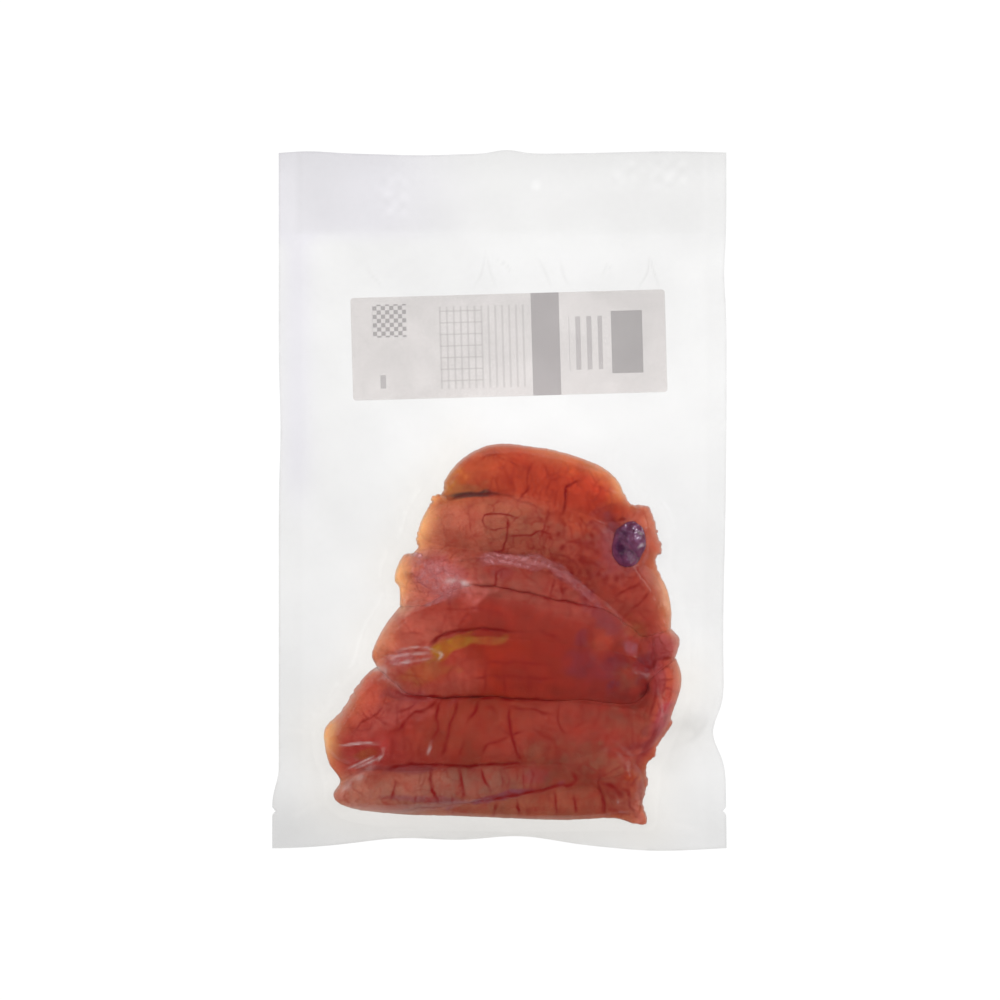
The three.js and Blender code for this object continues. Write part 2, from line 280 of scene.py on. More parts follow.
# %% The lobes' sizes and colours
LOBES = {
    "crown": dict(start=(-21.5, 2.5), via=(9, 11.5), end=(58, -5), width=27, height=25, blunt=4,
                  tones=("#B05838", "#AD4229", "#AF3C26"), net=(0.4, 0.6, 0.6)),
    "shoulder": dict(start=(-33.5, -13.5), via=(28, -16.5), end=(71, -60), width=29, height=27, blunt=4,
                     tones=("#B66857", "#964B3C", "#983A30"), net=(0.3, 0.9, 0.9)),
    "flap": dict(start=(60, -3), via=(63, -16), end=(66, -31), width=15, height=21, blunt=3,
                 tones=("#BC6654", "#B8604E", "#A8503F"), net=0.4),
    "pale": dict(start=(-43, -34), via=(0, -36), end=(63, -63), width=23, height=27, blunt=4,
                 tones=("#CA7460", "#944A40", "#984038"), net=(0.9, 0.6, 0.6)),
    "arch": dict(start=(-52, -68), via=(-9, -51), end=(63, -69), width=24, height=29, blunt=3,
                 tones=("#C06C60", "#923126", "#8B2C21"), net=0.3),
    "heart": dict(start=(-54, -80), via=(5, -73.5), end=(70, -85), width=31, height=30.5, blunt=4,
                  tones=("#A45046", "#922814", "#7A2825"), net=(0.35, 0.3, 0.7)),
    "belly": dict(start=(-73, -108), via=(-9, -102.5), end=(67, -104), width=34, height=30, blunt=4,
                  tones=("#9E3634", "#8B3828", "#953D35"), net=(0.45, 0.5, 0.6)),
    "wing": dict(start=(-54, -83), via=(-62, -94), end=(-71, -108), width=16, height=25, blunt=4,
                 tones=("#C05A4A", "#BC5444", "#B65040"), net=0.4),
    "keel": dict(start=(-71, -130.5), via=(-18, -127.5), end=(45, -120), width=20, height=26, blunt=4,
                 tones=("#B07062", "#8A5A50", "#7C3A2B"), net=0.45),
    "hem": dict(start=(-47, -137), via=(14, -134), end=(60, -134.5), width=16, height=21, blunt=3,
                tones=("#9A5846", "#92523F", "#904838"), net=0.45),
    "corner": dict(start=(20, -112), via=(46, -117), end=(56, -136), width=22, height=25, blunt=4,
                   tones=("#833A32", "#833A32", "#984A3A"), net=0.8),
    "knuckle": dict(start=(68, -50), via=(73, -62), end=(74, -76), width=12, height=22, blunt=3,
                    tones=("#AA4E48", "#AA4A4A", "#983E42"), net=0.9),
    "rib": dict(start=(71, -68), via=(73, -86), end=(61, -112), width=13, height=22, blunt=4,
                tones=("#B05042", "#B04E3E", "#AC4E42"), net=0.7),
    "tail": dict(start=(54, -132), via=(59.5, -136), end=(64, -143), width=8, height=14, blunt=2,
                 tones=("#BC6C64", "#BC6C64", "#BC6C64"), net=0.6),
}
WAIST = 0.32  # share of a lobe's height at which it is widest
ROUNDNESS = 2.3  # 2 would be a round back; more is flatter
STATIONS = 32


def middle_line(lobe, s):
    """Points on a lobe's bent middle line, for shares s of the way from its start to its end."""
    start, via, end = (np.array(lobe[key], float) for key in ("start", "via", "end"))
    pull = 2 * via - (start + end) / 2
    s = np.asarray(s, float)[:, None]
    return (1 - s) ** 2 * start + 2 * s * (1 - s) * pull + s**2 * end


for lobe in LOBES.values():
    shares = np.linspace(0, 1, STATIONS + 2)[1:-1]
    lobe["points"] = middle_line(lobe, shares)
    lobe["fullness"] = np.sqrt(1 - np.abs(2 * shares - 1) ** lobe["blunt"])
    lobe["halves"] = lobe["width"] / 2 * lobe["fullness"]
print("lobes:", ", ".join(LOBES))

# %% [markdown]
# ## The relief
# On a fine grid, the lobes' backs give a first height. Then the hollows fill, as the flesh does under
# vacuum: each point moves towards its neighbours' mean again and again but never below the lobes. A
# rounded profile brings the cake down at its edge, and every crease cuts a narrow groove between two
# rounded lips.

# %% Height of the roe's back and underside
GRAIN = 0.405  # mm between the points, which keeps each sac under 200,000 triangles
LEFT, RIGHT, LOW, HIGH = -82, 84, -148, 28
FILL_ROUNDS = 260
HOLLOW_SHARE = 0.3  # how much of a hollow stays
HOLLOW_LIMIT = 1.8
LEAST_HEIGHT = 17
RIM_WIDTH = 9
RIM_POWER = 2.4
RIM_TOP = 31
RIM_LEVEL = 5.9  # where the cake's back meets its underside, at the edge
SKIRT_RISE = 5  # where the two films meet, close round the roe
SKIRT_OUTWARD = 11
SKIRT_INWARD = 9
SOLE = 0.6  # mm of film and juice below the roe
SOFTNESS = 1.5  # mm over which the back turns into the rounded rim
CREASE_LINE = 0.55  # mm beside a crease at which its painted dark line of shade has faded by two thirds
LEAST_THICKNESS = 0.3


def relax(height, over, rounds, grip=1.0):
    """Draws a sheet tight: each round moves points towards their neighbours' mean, never below `over`."""
    height = height.copy()
    for _ in range(rounds):
        around = (height[1:-1, :-2] + height[1:-1, 2:] + height[:-2, 1:-1] + height[2:, 1:-1]) / 4
        inner = height[1:-1, 1:-1]
        height[1:-1, 1:-1] = np.maximum(over[1:-1, 1:-1], inner + grip * (around - inner))
    return height


def lobe_domes(xy):
    """The highest lobe's back over each point, or 0 beside them all."""
    highest = np.zeros(len(xy))
    for lobe in LOBES.values():
        waist = WAIST * lobe["height"]
        for point, half, fullness in zip(lobe["points"], lobe["halves"], lobe["fullness"]):
            away = np.hypot(xy[:, 0] - point[0], xy[:, 1] - point[1])
            near = np.flatnonzero(away < half)
            dome = (1 - (away[near] / half) ** ROUNDNESS) ** (1 / ROUNDNESS)
            highest[near] = np.maximum(highest[near], waist + (lobe["height"] - waist) * fullness * dome)
    return highest


def crease_fields(xy):
    """How deep the creases cut at each point, in mm, and how much painted shade darkens them there, from 0 to
    1.
    """
    cut = np.zeros(len(xy))
    dark = np.zeros(len(xy))
    for crease in CREASES.values():
        line = crease["line"][::6]
        near = close_to(line, xy, 4)
        distance, way = line_distance(xy[near], line)
        fade = np.interp(way, np.linspace(0, 1, len(crease["along"])), crease["along"])
        fade = fade * (0.85 + 0.15 * ripples(xy[near], 6, 55))
        sharp = ramp(fade, 0.3, 0.9)
        lip = crease["lip"] * (0.7 + 0.3 * sharp)
        inward = np.clip(1 - distance / lip, 0, 1)
        groove = sharp * (1 - np.sqrt(1 - inward**2)) + (1 - sharp) * 0.4 * ramp(inward, 0, 1)
        cut[near] = np.maximum(cut[near], fade * lip * groove)
        dark[near] = np.maximum(dark[near], fade * crease["dark"] * bell(distance, 0, CREASE_LINE))
    return cut, dark


x = np.arange(LEFT, RIGHT, GRAIN)
y = np.arange(LOW, HIGH, GRAIN)
grid = np.stack(np.meshgrid(x, y), axis=2)
spots = grid.reshape(-1, 2)
spot_depth = depth_inside(outline, spots)
domes = lobe_domes(spots)
least = np.where(spot_depth > 0, np.maximum(domes, LEAST_HEIGHT), domes).reshape(grid.shape[:2])
filled = relax(least, least, FILL_ROUNDS).ravel()
back = filled - np.minimum(HOLLOW_SHARE * (filled - domes), HOLLOW_LIMIT)
back += 0.5 * ripples(spots, 17, 100) + 0.2 * ripples(spots, 5, 101)
inward = np.clip(spot_depth / RIM_WIDTH, 0, 1)
rim = RIM_LEVEL + (RIM_TOP - RIM_LEVEL) * (1 - (1 - inward) ** RIM_POWER) ** (1 / RIM_POWER)
spot_cut, spot_crease_shade = crease_fields(spots)
back = -SOFTNESS * np.log(np.exp(-back / SOFTNESS) + np.exp(-rim / SOFTNESS)) - spot_cut * inward**0.5
under = SOLE + (SKIRT_RISE - SOLE + 0.5) * np.clip(1 - spot_depth / SKIRT_INWARD, 0, 1) ** 2 + 0.5 * spot_cut
back = np.maximum(back, under + LEAST_THICKNESS)
roe_level = np.where(spot_depth > 0, back, 0).reshape(grid.shape[:2])
print("relief:", grid.shape[:2], "points, highest", round(float(back.max()), 1), "mm")


def roe_top(xy):
    """The roe's height below each point, in mm, or 0 beside it, read between the grid's points."""
    across = np.clip((xy[:, 0] - LEFT) / GRAIN, 0, roe_level.shape[1] - 1.001)
    upward = np.clip((xy[:, 1] - LOW) / GRAIN, 0, roe_level.shape[0] - 1.001)
    column, row = across.astype(int), upward.astype(int)
    u, v = across - column, upward - row
    lower = roe_level[row, column] * (1 - u) + roe_level[row, column + 1] * u
    higher = roe_level[row + 1, column] * (1 - u) + roe_level[row + 1, column + 1] * u
    return lower * (1 - v) + higher * v


# %% [markdown]
# ## Veins
# Fine dark vessels cross every lobe. The bold ones are drawn as lines seen from above, and each
# lobe also gets thinner ones that a seeded random walk draws across it. They could be a texture, but
# vessels belong to a place: they start in a crease and fade on the lobe's back. So each becomes a line of
# points, and the mesh stores how near it lies to one.

# %% The bold veins
# Width in mm, strength, and the points that it runs through
BOLD = [
    (1.3, 0.8, [(27, -7), (28.5, -2), (29, 3), (29.5, 5.5), (32, 7.5), (36, 9)]),
    (1.0, 0.5, [(8, -1), (10, 2.5), (12.5, 5.5), (12, 10), (13, 16)]),
    (0.8, 0.35, [(22.5, 9), (20.5, 5), (22.5, 0)]),
    (0.9, 0.6, [(-7, -13), (-7.5, -9), (-5, -6.5), (2.5, -6.5), (9, -8)]),
    (0.8, 0.5, [(-7, -12.5), (-2, -13), (5, -11.5)]),
    (0.9, 0.7, [(3, -16.5), (8, -15.5), (14, -15.5), (17, -14), (25, -15.5)]),
    (1.1, 0.75, [(2.5, -7), (3.5, -11.5), (2.5, -17), (0.5, -22.5), (-5, -23)]),
    (0.7, 0.6, [(29, -17), (35, -19.5), (38.5, -18.5), (42, -16.5)]),
    (0.7, 0.6, [(24, -24), (30.5, -26), (34, -29), (31.5, -32)]),
    (0.7, 0.6, [(37, -27), (42, -28), (46, -31)]),
    (0.8, 0.65, [(51, -43), (56, -39.5), (63, -36.5)]),
    (0.8, 0.65, [(57, -48), (63, -45), (66.5, -39)]),
    (1.1, 0.75, [(-11.5, -37.5), (-3, -38), (-2, -35), (-0.5, -31.5), (2.5, -29.5)]),
    (1.2, 0.7, [(-1, -38.5), (9, -40.5), (21, -43.5), (33, -45.5), (46, -48.5)]),
    (1.0, 0.7, [(22.5, -44), (23, -39.5), (24, -35)]),
    (1.0, 0.6, [(27, -36), (28, -44.5)]),
    (1.5, 0.85, [(-31, -64), (-27, -60.5), (-19.5, -58), (-8, -57), (5.5, -58.5)]),
    (0.9, 0.5, [(-17.5, -56), (-16, -52), (-12.5, -49)]),
    (0.8, 0.4, [(-26, -48.5), (-9, -48), (3, -50.5)]),
    (1.2, 0.6, [(18, -58), (26, -61.5)]),
    (0.9, 0.55, [(-9, -72.5), (6.5, -71.5), (23, -73)]),
    (0.9, 0.6, [(-13, -78), (1.5, -77.5), (25, -79)]),
    (0.8, 0.5, [(-6, -68), (-6.5, -86)]),
    (0.8, 0.55, [(1.5, -68.5), (2.5, -86)]),
    (0.9, 0.55, [(10, -70), (12.5, -79), (13, -86)]),
    (0.8, 0.4, [(22, -72), (24.5, -82)]),
    (1.6, 0.85, [(-46, -84.5), (-38, -87), (-9, -87.5), (6.5, -88), (26, -88.5)]),
    (1.4, 0.8, [(-49, -104), (-43.5, -100), (-40, -95), (-34, -93), (-27, -88.5)]),
    (1.0, 0.55, [(-42, -98), (-42.5, -104)]),
    (1.3, 0.8, [(-25.5, -88), (-28, -94), (-27.5, -101), (-30, -107)]),
    (1.4, 0.85, [(-19, -88), (-19.5, -93), (-22, -98), (-22, -102), (-26.5, -113)]),
    (1.4, 0.75, [(-10, -88), (-11, -93), (-15, -98.5)]),
    (1.4, 0.9, [(4.5, -90), (4, -97), (5, -103), (6.5, -110), (10, -116)]),
    (1.0, 0.7, [(-0.5, -100), (5, -103.5), (11, -101)]),
    (1.0, 0.6, [(-2, -107), (5, -103.5)]),
    (1.0, 0.6, [(26, -91), (25.5, -97.5), (29, -104)]),
    (0.9, 0.5, [(14, -100), (19, -104), (26, -106)]),
    (1.1, 0.6, [(2.6, -90), (6, -91.2), (14.7, -92.8), (23.5, -94.5)]),
    (1.0, 0.6, [(-8.4, -113), (-5.1, -107.6), (0.4, -106.5)]),
    (1.1, 0.5, [(-52.9, -92.3), (-55.6, -95.6), (-61, -97.8), (-64.4, -103)]),
    (1.0, 0.5, [(-16, -104), (-17, -110), (-18.5, -116)]),
    (1.0, 0.45, [(-37, -88), (-40, -92), (-47, -94)]),
    (0.8, 0.5, [(0.4, -120), (1, -128)]),
    (0.8, 0.5, [(3.6, -120), (4.2, -127)]),
    (0.8, 0.5, [(7, -119.5), (7.6, -126.5)]),
    (0.8, 0.5, [(9.9, -119.5), (10.4, -126)]),
    (1.1, 0.6, [(14, -118), (14.8, -122), (13.8, -127)]),
    (0.9, 0.45, [(-1, -118.5), (6, -118), (14, -118)]),
    (1.6, 0.7, [(-50, -119), (-38, -117), (-14, -117.5), (11, -116)]),
    (1.6, 0.9, [(-31, -118.5), (-30.5, -125), (-29.5, -130), (-26.5, -135)]),
    (1.6, 0.9, [(-18, -118.5), (-16.5, -125), (-16, -133)]),
    (1.4, 0.85, [(-9, -118), (-7, -122), (-4.5, -128)]),
    (1.1, 0.7, [(-47.5, -122), (-46.5, -126), (-48, -133)]),
    (1.0, 0.5, [(-36.5, -129), (-38, -135.5)]),
    (1.6, 0.85, [(31, -119), (33.5, -124.5), (27.5, -126), (11, -129.5), (-5, -132.5)]),
    (1.2, 0.8, [(-21, -136), (-20.5, -142)]),
    (1.3, 0.85, [(-2, -133.5), (-2, -142)]),
    (1.2, 0.8, [(7.5, -133), (9, -140)]),
    (1.1, 0.7, [(24, -129.5), (25.5, -141)]),
    (1.2, 0.8, [(32.5, -131), (33.5, -140)]),
    (1.6, 0.85, [(43, -124), (45.5, -132), (47, -140)]),
    (1.5, 0.7, [(43.5, -125), (50, -127), (54.5, -131.5)]),
    (1.3, 0.5, [(56, -127), (60, -124.5), (63, -121)]),
    (1.1, 0.45, [(53, -126), (57, -130), (58, -136), (60, -141)]),
    (1.1, 0.45, [(62, -126), (62.5, -133), (61.5, -140)]),
    (0.9, 0.4, [(45, -136), (50, -138), (57, -139.5)]),
    (1.1, 0.45, [(67, -76), (69, -83), (68, -90), (66, -97)]),
    (0.9, 0.35, [(72, -74), (73.5, -80), (71, -88)]),
    (0.9, 0.35, [(64, -60), (68, -66), (67, -72)]),
    (1.6, 0.6, [(78, -70.3), (74, -69.8), (70, -71.5), (66, -74), (62, -73)]),
    (1.0, 0.45, [(66, -74), (64, -79), (65, -84)]),
    (0.8, 0.4, [(61, -69), (64, -72), (68, -76)]),
    (0.8, 0.4, [(45, -79), (50, -81.5), (52, -85)]),
    (0.8, 0.35, [(34, -57), (36, -62), (35, -67)]),
    (1.1, 0.45, [(70, -100), (67, -106), (62, -112)]),
    (1.1, 0.4, [(55.5, -110), (61, -109), (66, -107.5)]),
    (1.0, 0.35, [(53, -96), (59, -95), (66, -97)]),
    (1.8, 0.35, [(-49, -104), (-47, -109), (-48, -115)]),
    (1.0, 0.4, [(-7, -89), (-3, -92), (-1, -97)]),
    (1.0, 0.4, [(-42, -104), (-42, -112)]),
]

# %% The fine veins, by seeded walks
WALKS = {
    "crown": dict(count=16, width=0.6, strength=0.28, first=0.25),
    "shoulder": dict(count=20, width=0.6, strength=0.36, first=0.38),
    "pale": dict(count=12, width=0.6, strength=0.36),
    "arch": dict(count=9, width=0.8, strength=0.25),
    "heart": dict(count=12, width=0.6, strength=0.32),
    "belly": dict(count=24, width=0.7, strength=0.34),
    "keel": dict(count=12, width=0.9, strength=0.24),
    "hem": dict(count=12, width=0.9, strength=0.3),
    "corner": dict(count=9, width=0.7, strength=0.4),
    "knuckle": dict(count=6, width=0.7, strength=0.4),
    "rib": dict(count=12, width=0.7, strength=0.4),
}
STEP = 1.6
FORKING = 0.12  # chance of a fork at each step


def walk_across(lobe, first, random):
    """A wandering line from one side of a lobe across part of its back, with a fork now and then."""
    share = random.uniform(first, 0.92)
    here, ahead = middle_line(lobe, [share, min(1, share + 0.02)])
    along = (ahead - here) / np.linalg.norm(ahead - here)
    across = np.array([-along[1], along[0]]) * random.choice([-1, 1])
    point = here - across * lobe["width"] * 0.42
    heading = math.atan2(across[1], across[0]) + random.normal(0, 0.25)
    length = lobe["width"] * random.uniform(0.35, 0.85)
    lines = []
    line = [point]
    for _ in range(int(length / STEP)):
        heading += random.normal(0, 0.32)
        point = point + STEP * np.array([math.cos(heading), math.sin(heading)])
        line.append(point)
        if random.random() < FORKING:
            turn = heading + random.choice([-1, 1]) * random.uniform(0.7, 1.3)
            steps = np.arange(random.integers(2, 5))[:, None]
            lines.append(point + STEP * steps * [math.cos(turn), math.sin(turn)])
    return [line] + [fork for fork in lines if len(fork) > 1]


veins = []
for width, strength, points in BOLD:
    veins.append(dict(width=width, strength=strength, line=smooth_line(points)))
random = np.random.default_rng(7)
for name, walk in WALKS.items():
    for _ in range(walk["count"]):
        for line in walk_across(LOBES[name], walk.get("first", 0.08), random):
            fade = random.uniform(0.6, 1.2)
            veins.append(dict(width=walk["width"], strength=walk["strength"] * fade, line=smooth_line(line)))
for vein in veins:
    line = vein["line"]
    for sizes, reach in (((4, 5), 0.35), ((1, 2), 0.22)):
        jitter = np.stack([ripples(line, size, 20 + size) for size in sizes], axis=1)
        vein["line"] = vein["line"] + jitter * reach
print(len(BOLD), "bold veins and", len(veins) - len(BOLD), "fine ones")

# %% [markdown]
# Left of the clot, burst capillaries have left small dark red spots in the roe. Each speck is a vein cut
# down to a millimetre, so it needs no paint of its own. A seeded draw scatters them, which gives the same
# places on every run.

# %% Specks of blood on the shoulder
SPECKS = 64
SPECK_HALF = 0.5

random = np.random.default_rng(29)
for _ in range(SPECKS):
    spot = np.array([random.uniform(22, 56), random.uniform(-46, -8)])
    turn = random.uniform(0, math.pi)
    line = spot + np.linspace(-SPECK_HALF, SPECK_HALF, 4)[:, None] * [math.cos(turn), math.sin(turn)]
    strength = random.uniform(0.4, 0.7)
    veins.append(dict(width=random.uniform(1.2, 2.2), strength=strength, blunt=0.9, line=line))
print(SPECKS, "specks")

# %% How dark the veins are at each point
VEIN_WIDTH = 0.5  # share of a vein's width at which it has faded by two thirds
VEIN_STRENGTH = 1.5
VEIN_MARGIN = 3
END_FADE = 4  # mm over which a vein fades at its ends
END_SHARE = 0.35  # how dark its very end still is


def vein_darkness(xy):
    """How dark the nearest vein makes each point, from 0 to 1."""
    dark = np.zeros(len(xy))
    for vein in veins:
        line = vein["line"]
        near = close_to(line, xy, VEIN_MARGIN)
        if not near.any():
            continue
        places = xy[near]
        distance = line_distance(places, line)[0]
        ends = np.minimum(np.hypot(*(places - line[0]).T), np.hypot(*(places - line[-1]).T))
        blunt = vein.get("blunt", END_SHARE)
        fade = blunt + (1 - blunt) * ramp(ends, 0, END_FADE)
        fade = fade * np.clip(0.95 + 0.2 * ripples(places, 2.5, 24), 0.5, 1.15)
        width = VEIN_WIDTH * vein["width"] * (1 + 0.25 * ripples(places, 3, 25))
        here = fade * bell(distance, 0, width)
        dark[near] = np.maximum(dark[near], np.minimum(VEIN_STRENGTH * vein["strength"], 1) * here)
    return dark


# %% [markdown]
# ## Stains and skins in the flesh
# Here and there the roe isn't orange: bile has stained it olive, blood has pooled purple, and thin skins
# make it pinkish lilac. A few of the ovals below paint shade or glow instead, and are marked. Each is a soft
# oval of colour with a place, a size and a turn.

# %% Soft stains
# Colour, place, reach along and across, turn in degrees, and strength
STAINS = [
    ("#C06A34", (-21, 7.5), (8, 6), 30, 0.8),
    # The next two paint shade along the crown's crease: a soft band above it and its dark line
    ("#8A5A3C", (-16, 4.8), (9, 3), 6, 0.55),
    ("#3E3438", (-13, 2.3), (11.5, 1.3), 3, 0.85),
    ("#8E5440", (6, -12), (15, 7), -8, 0.55),
    ("#B44A30", (34, -9), (16, 5), -20, 0.6),
    ("#A86048", (-4, -3), (16, 3), -5, 0.5),
    ("#BE6A68", (-25, -35), (17, 8), -12, 0.75),
    ("#B0666A", (-32, -26), (9, 5), -35, 0.6),
    ("#8A4048", (50, -20), (9, 13), 8, 0.6),
    ("#7E3A50", (50.5, -12), (3, 5), 10, 0.5),
    ("#9A6A12", (-26, -67), (4.2, 4.2), 30, 0.8),
    ("#9C6C1E", (-17.5, -63.2), (9, 2.7), 13, 0.8),
    ("#9C6430", (-7, -61.8), (8, 2.4), 4, 0.6),
    ("#94562C", (-33, -76), (13, 4.5), 12, 0.6),
    ("#742C3C", (36, -61), (2.6, 5), -20, 0.6),
    ("#762A36", (40, -73), (13, 7), -12, 0.75),
    ("#A84A38", (44.5, -63.5), (4.5, 6.5), -12, 0.55),
    ("#7C4034", (58, -77), (7, 6), -20, 0.7),
    ("#5C2C40", (49.5, -81.4), (3.6, 2), 20, 0.6),
    ("#946276", (57.6, -65), (3.4, 3.8), 20, 0.6),
    ("#6E2A3C", (64, -73), (6, 4), 30, 0.7),
    ("#52060E", (64.5, -83.5), (2.2, 3.2), -15, 0.95),
    ("#9C4C5A", (70.5, -80), (3.5, 8), -4, 0.65),
    ("#A24A54", (72.5, -64), (5.5, 6), -20, 0.7),
    ("#763444", (45, -52), (9, 4), -45, 0.55),
    ("#7A4438", (52, -97), (12, 4), -8, 0.4),
    ("#AE5E5E", (-46, -93), (15, 6), 12, 0.4),
    ("#9A5C3C", (62, -58), (5, 4.5), 0, 0.5),
    ("#6A2838", (52, -71), (6, 4), -20, 0.45),
    # painted glow where light shines through the thin lower left tip
    ("#C89040", (-76.5, -103), (3.5, 6.5), -10, 0.5),
    ("#D0703C", (44, 13), (15, 4), -36, 0.55),
    ("#B4722E", (-24.5, 7), (3.5, 6), -15, 0.8),
    ("#D8A494", (-44, -45), (3, 6), 0, 0.6),
    ("#C47C72", (-39, -43), (5, 5), 0, 0.45),
    ("#D09E94", (75, -43), (3, 10), 12, 0.5),
    # painted shadow where the lower crease begins, which also hides a seam between two sacs
    ("#8C4038", (-47, -80), (8, 2.6), -40, 0.5),
    ("#C05A50", (-73, -118), (4, 4), 0, 0.4),
    ("#CE7A60", (-51.5, -63), (5, 9), -20, 0.45),
    ("#D8864E", (-42, -34), (3, 5), 0, 0.5),
    ("#BC642C", (52.5, 3), (3, 5), -60, 0.5),
    ("#BE4E26", (34, 16), (8, 3), -22, 0.45),
    ("#98483C", (-14, -32), (5, 3), -10, 0.5),
    ("#822E38", (1, -31.5), (5, 2.5), -8, 0.5),
    ("#CC7E62", (66, -9), (3, 5), 10, 0.5),
    ("#8C5038", (17, -112), (7, 5), 0, 0.4),
    ("#A8604C", (58, -140), (4, 3), 0, 0.5),
    ("#C8442C", (44, 7), (9, 5), -35, 0.5),
    ("#A03C52", (71.5, -97), (3, 10), -14, 0.7),
    ("#8E4A3A", (58, -98), (9, 7), 0, 0.4),
    ("#864638", (32, -112), (19, 6), -8, 0.85),
    ("#8A5040", (50, -118), (10, 6), -35, 0.6),
    ("#A04C24", (60, -122.5), (4, 2.2), 0, 0.8),
    ("#7A2030", (67, -107.5), (9, 1.8), 55, 0.6),
    ("#7C3028", (63.5, -128), (1.4, 9), 0, 0.5),
    ("#7E2C28", (50, -128), (4, 3), -30, 0.5),
    ("#7A2C34", (60, -109), (6, 1.8), 10, 0.45),
    ("#93502A", (-60, -112.5), (6.5, 2.3), 14, 0.65),
    ("#7C4058", (-31, -132.5), (22, 1.6), -4, 0.45),
    ("#74385A", (0, -131), (17, 1.7), 12, 0.6),
    ("#8A4046", (17, -122), (7, 3.5), 10, 0.6),
    ("#7E3C4A", (-38, -119), (15, 2.2), 0, 0.55),
    ("#8A4250", (-40, -87), (14, 2.6), -6, 0.45),
    ("#A8554C", (-60, -98), (9, 9), 30, 0.35),
]


STAIN_CORE = 0.55  # share of its reach within which a stain is at full strength
STAIN_END = 1.35  # and where it has faded


def stain_share(xy, at, reach, turn, strength):
    """How strongly a stain colours each point."""
    turn = math.radians(turn)
    away = xy - np.array(at)
    along = away @ [math.cos(turn), math.sin(turn)] / reach[0]
    across = away @ [-math.sin(turn), math.cos(turn)] / reach[1]
    distance = np.hypot(along, across) * (1 + 0.22 * ripples(xy, 7, 33) + 0.16 * ripples(xy, 2.4, 34))
    return strength * (1 - ramp(distance, STAIN_CORE, STAIN_END))


# %% [markdown]
# ## Raw roe, the material
# Raw roe is thousands of tiny eggs in a thin skin: soft, moist and a little see-through, so light enters
# and spreads. That calls for subsurface scattering, with red travelling furthest. The eggs are too fine
# to model, so a fine cell pattern gives the grain. Patches of paler flesh and a faint net of capillaries
# come from noise. The veins, the stains, painted shade along the creases and a painted glow at thin rims,
# where light would shine through, come from what the meshes store.
# The film lies tight on the roe, so the roe itself hardly shines.

# %% Make the roe material
EGG = 0.9  # mm; the real eggs are about 0.5, too fine to show
NET = 6.5  # mm between capillaries
VEIN_RED = "#740A0A"
NET_RED = "#7E1C14"
BLUSH_RED = "#8C2014"
# The dark red of the painted shade along the creases
CREASE_SHADE_RED = "#640E0E"
SPECK_GAP = 3  # mm between small blood specks
# Amber of the painted glow at thin edges, where light shines through
PAINTED_GLOW_AMBER = "#E6A972"

roe = new_material("raw_roe_in_its_skin")
place = add_node(roe, "ShaderNodeNewGeometry").outputs["Position"]
stored = {}
for name in ("flesh", "vein", "crease", "rim"):
    stored[name] = add_node(roe, "ShaderNodeAttribute", attribute_name=name)
patches = add_node(roe, "ShaderNodeTexNoise", {"Scale": 1 / (9 * MM), "Detail": 5, "Roughness": 0.62},
                   {"Vector": place})
patch_tone = add_node(roe, "ShaderNodeMapRange",
                      {"From Min": 0.3, "From Max": 0.7, "To Min": 0.84, "To Max": 1.16},
                      {"Value": patches.outputs["Fac"]})
toned = add_node(roe, "ShaderNodeVectorMath", {},
                 {0: stored["flesh"].outputs["Color"], 1: patch_tone.outputs["Result"]}, operation="MULTIPLY")
eggs = add_node(roe, "ShaderNodeTexVoronoi", {"Scale": 1 / (EGG * MM)}, {"Vector": place})
egg_tone = add_node(roe, "ShaderNodeMapRange", {"From Max": 0.8, "To Min": 1.07, "To Max": 0.88},
                    {"Value": eggs.outputs["Distance"]})
grained = add_node(roe, "ShaderNodeVectorMath", {},
                   {0: toned.outputs["Vector"], 1: egg_tone.outputs["Result"]}, operation="MULTIPLY")
# The net follows a warped position, so that its meshes are uneven, as capillaries are
warp = add_node(roe, "ShaderNodeTexNoise", {"Scale": 1 / (5 * MM), "Detail": 2}, {"Vector": place})
warped = add_node(roe, "ShaderNodeVectorMath", {1: (4 * MM, 4 * MM, 4 * MM)},
                  {0: warp.outputs["Color"], 2: place}, operation="MULTIPLY_ADD")
net = add_node(roe, "ShaderNodeTexVoronoi", {"Scale": 1 / (NET * MM)}, {"Vector": warped.outputs["Vector"]},
               feature="DISTANCE_TO_EDGE")
net_line = add_node(roe, "ShaderNodeMapRange", {"From Min": 0.0, "From Max": 0.085, "To Min": 1, "To Max": 0},
                    {"Value": net.outputs["Distance"]})
net_patch = add_node(roe, "ShaderNodeMapRange", {"From Min": 0.4, "From Max": 0.6, "To Min": 0.15},
                     {"Value": warp.outputs["Fac"]})
specks = add_node(roe, "ShaderNodeTexVoronoi", {"Scale": 1 / (SPECK_GAP * MM)}, {"Vector": place})
speck = add_node(roe, "ShaderNodeMapRange", {"From Min": 0.08, "From Max": 0.2, "To Min": 0.8, "To Max": 0},
                 {"Value": specks.outputs["Distance"]})
patchy_net = add_node(roe, "ShaderNodeMath", {},
                      {0: net_line.outputs["Result"], 1: net_patch.outputs["Result"]}, operation="MULTIPLY")
marks = add_node(roe, "ShaderNodeMath", {}, {0: patchy_net.outputs["Value"], 1: speck.outputs["Result"]},
                 operation="MAXIMUM")
net_share = add_node(roe, "ShaderNodeMath", {},
                     {0: marks.outputs["Value"], 1: stored["flesh"].outputs["Alpha"]}, operation="MULTIPLY")
blush = add_node(roe, "ShaderNodeTexNoise", {"Scale": 1 / (7 * MM), "Detail": 3, "Roughness": 0.55},
                 {"Vector": warped.outputs["Vector"]})
blush_share = add_node(roe, "ShaderNodeMapRange", {"From Min": 0.46, "From Max": 0.7, "To Max": 0.45},
                       {"Value": blush.outputs["Fac"]})
colour = grained.outputs["Vector"]
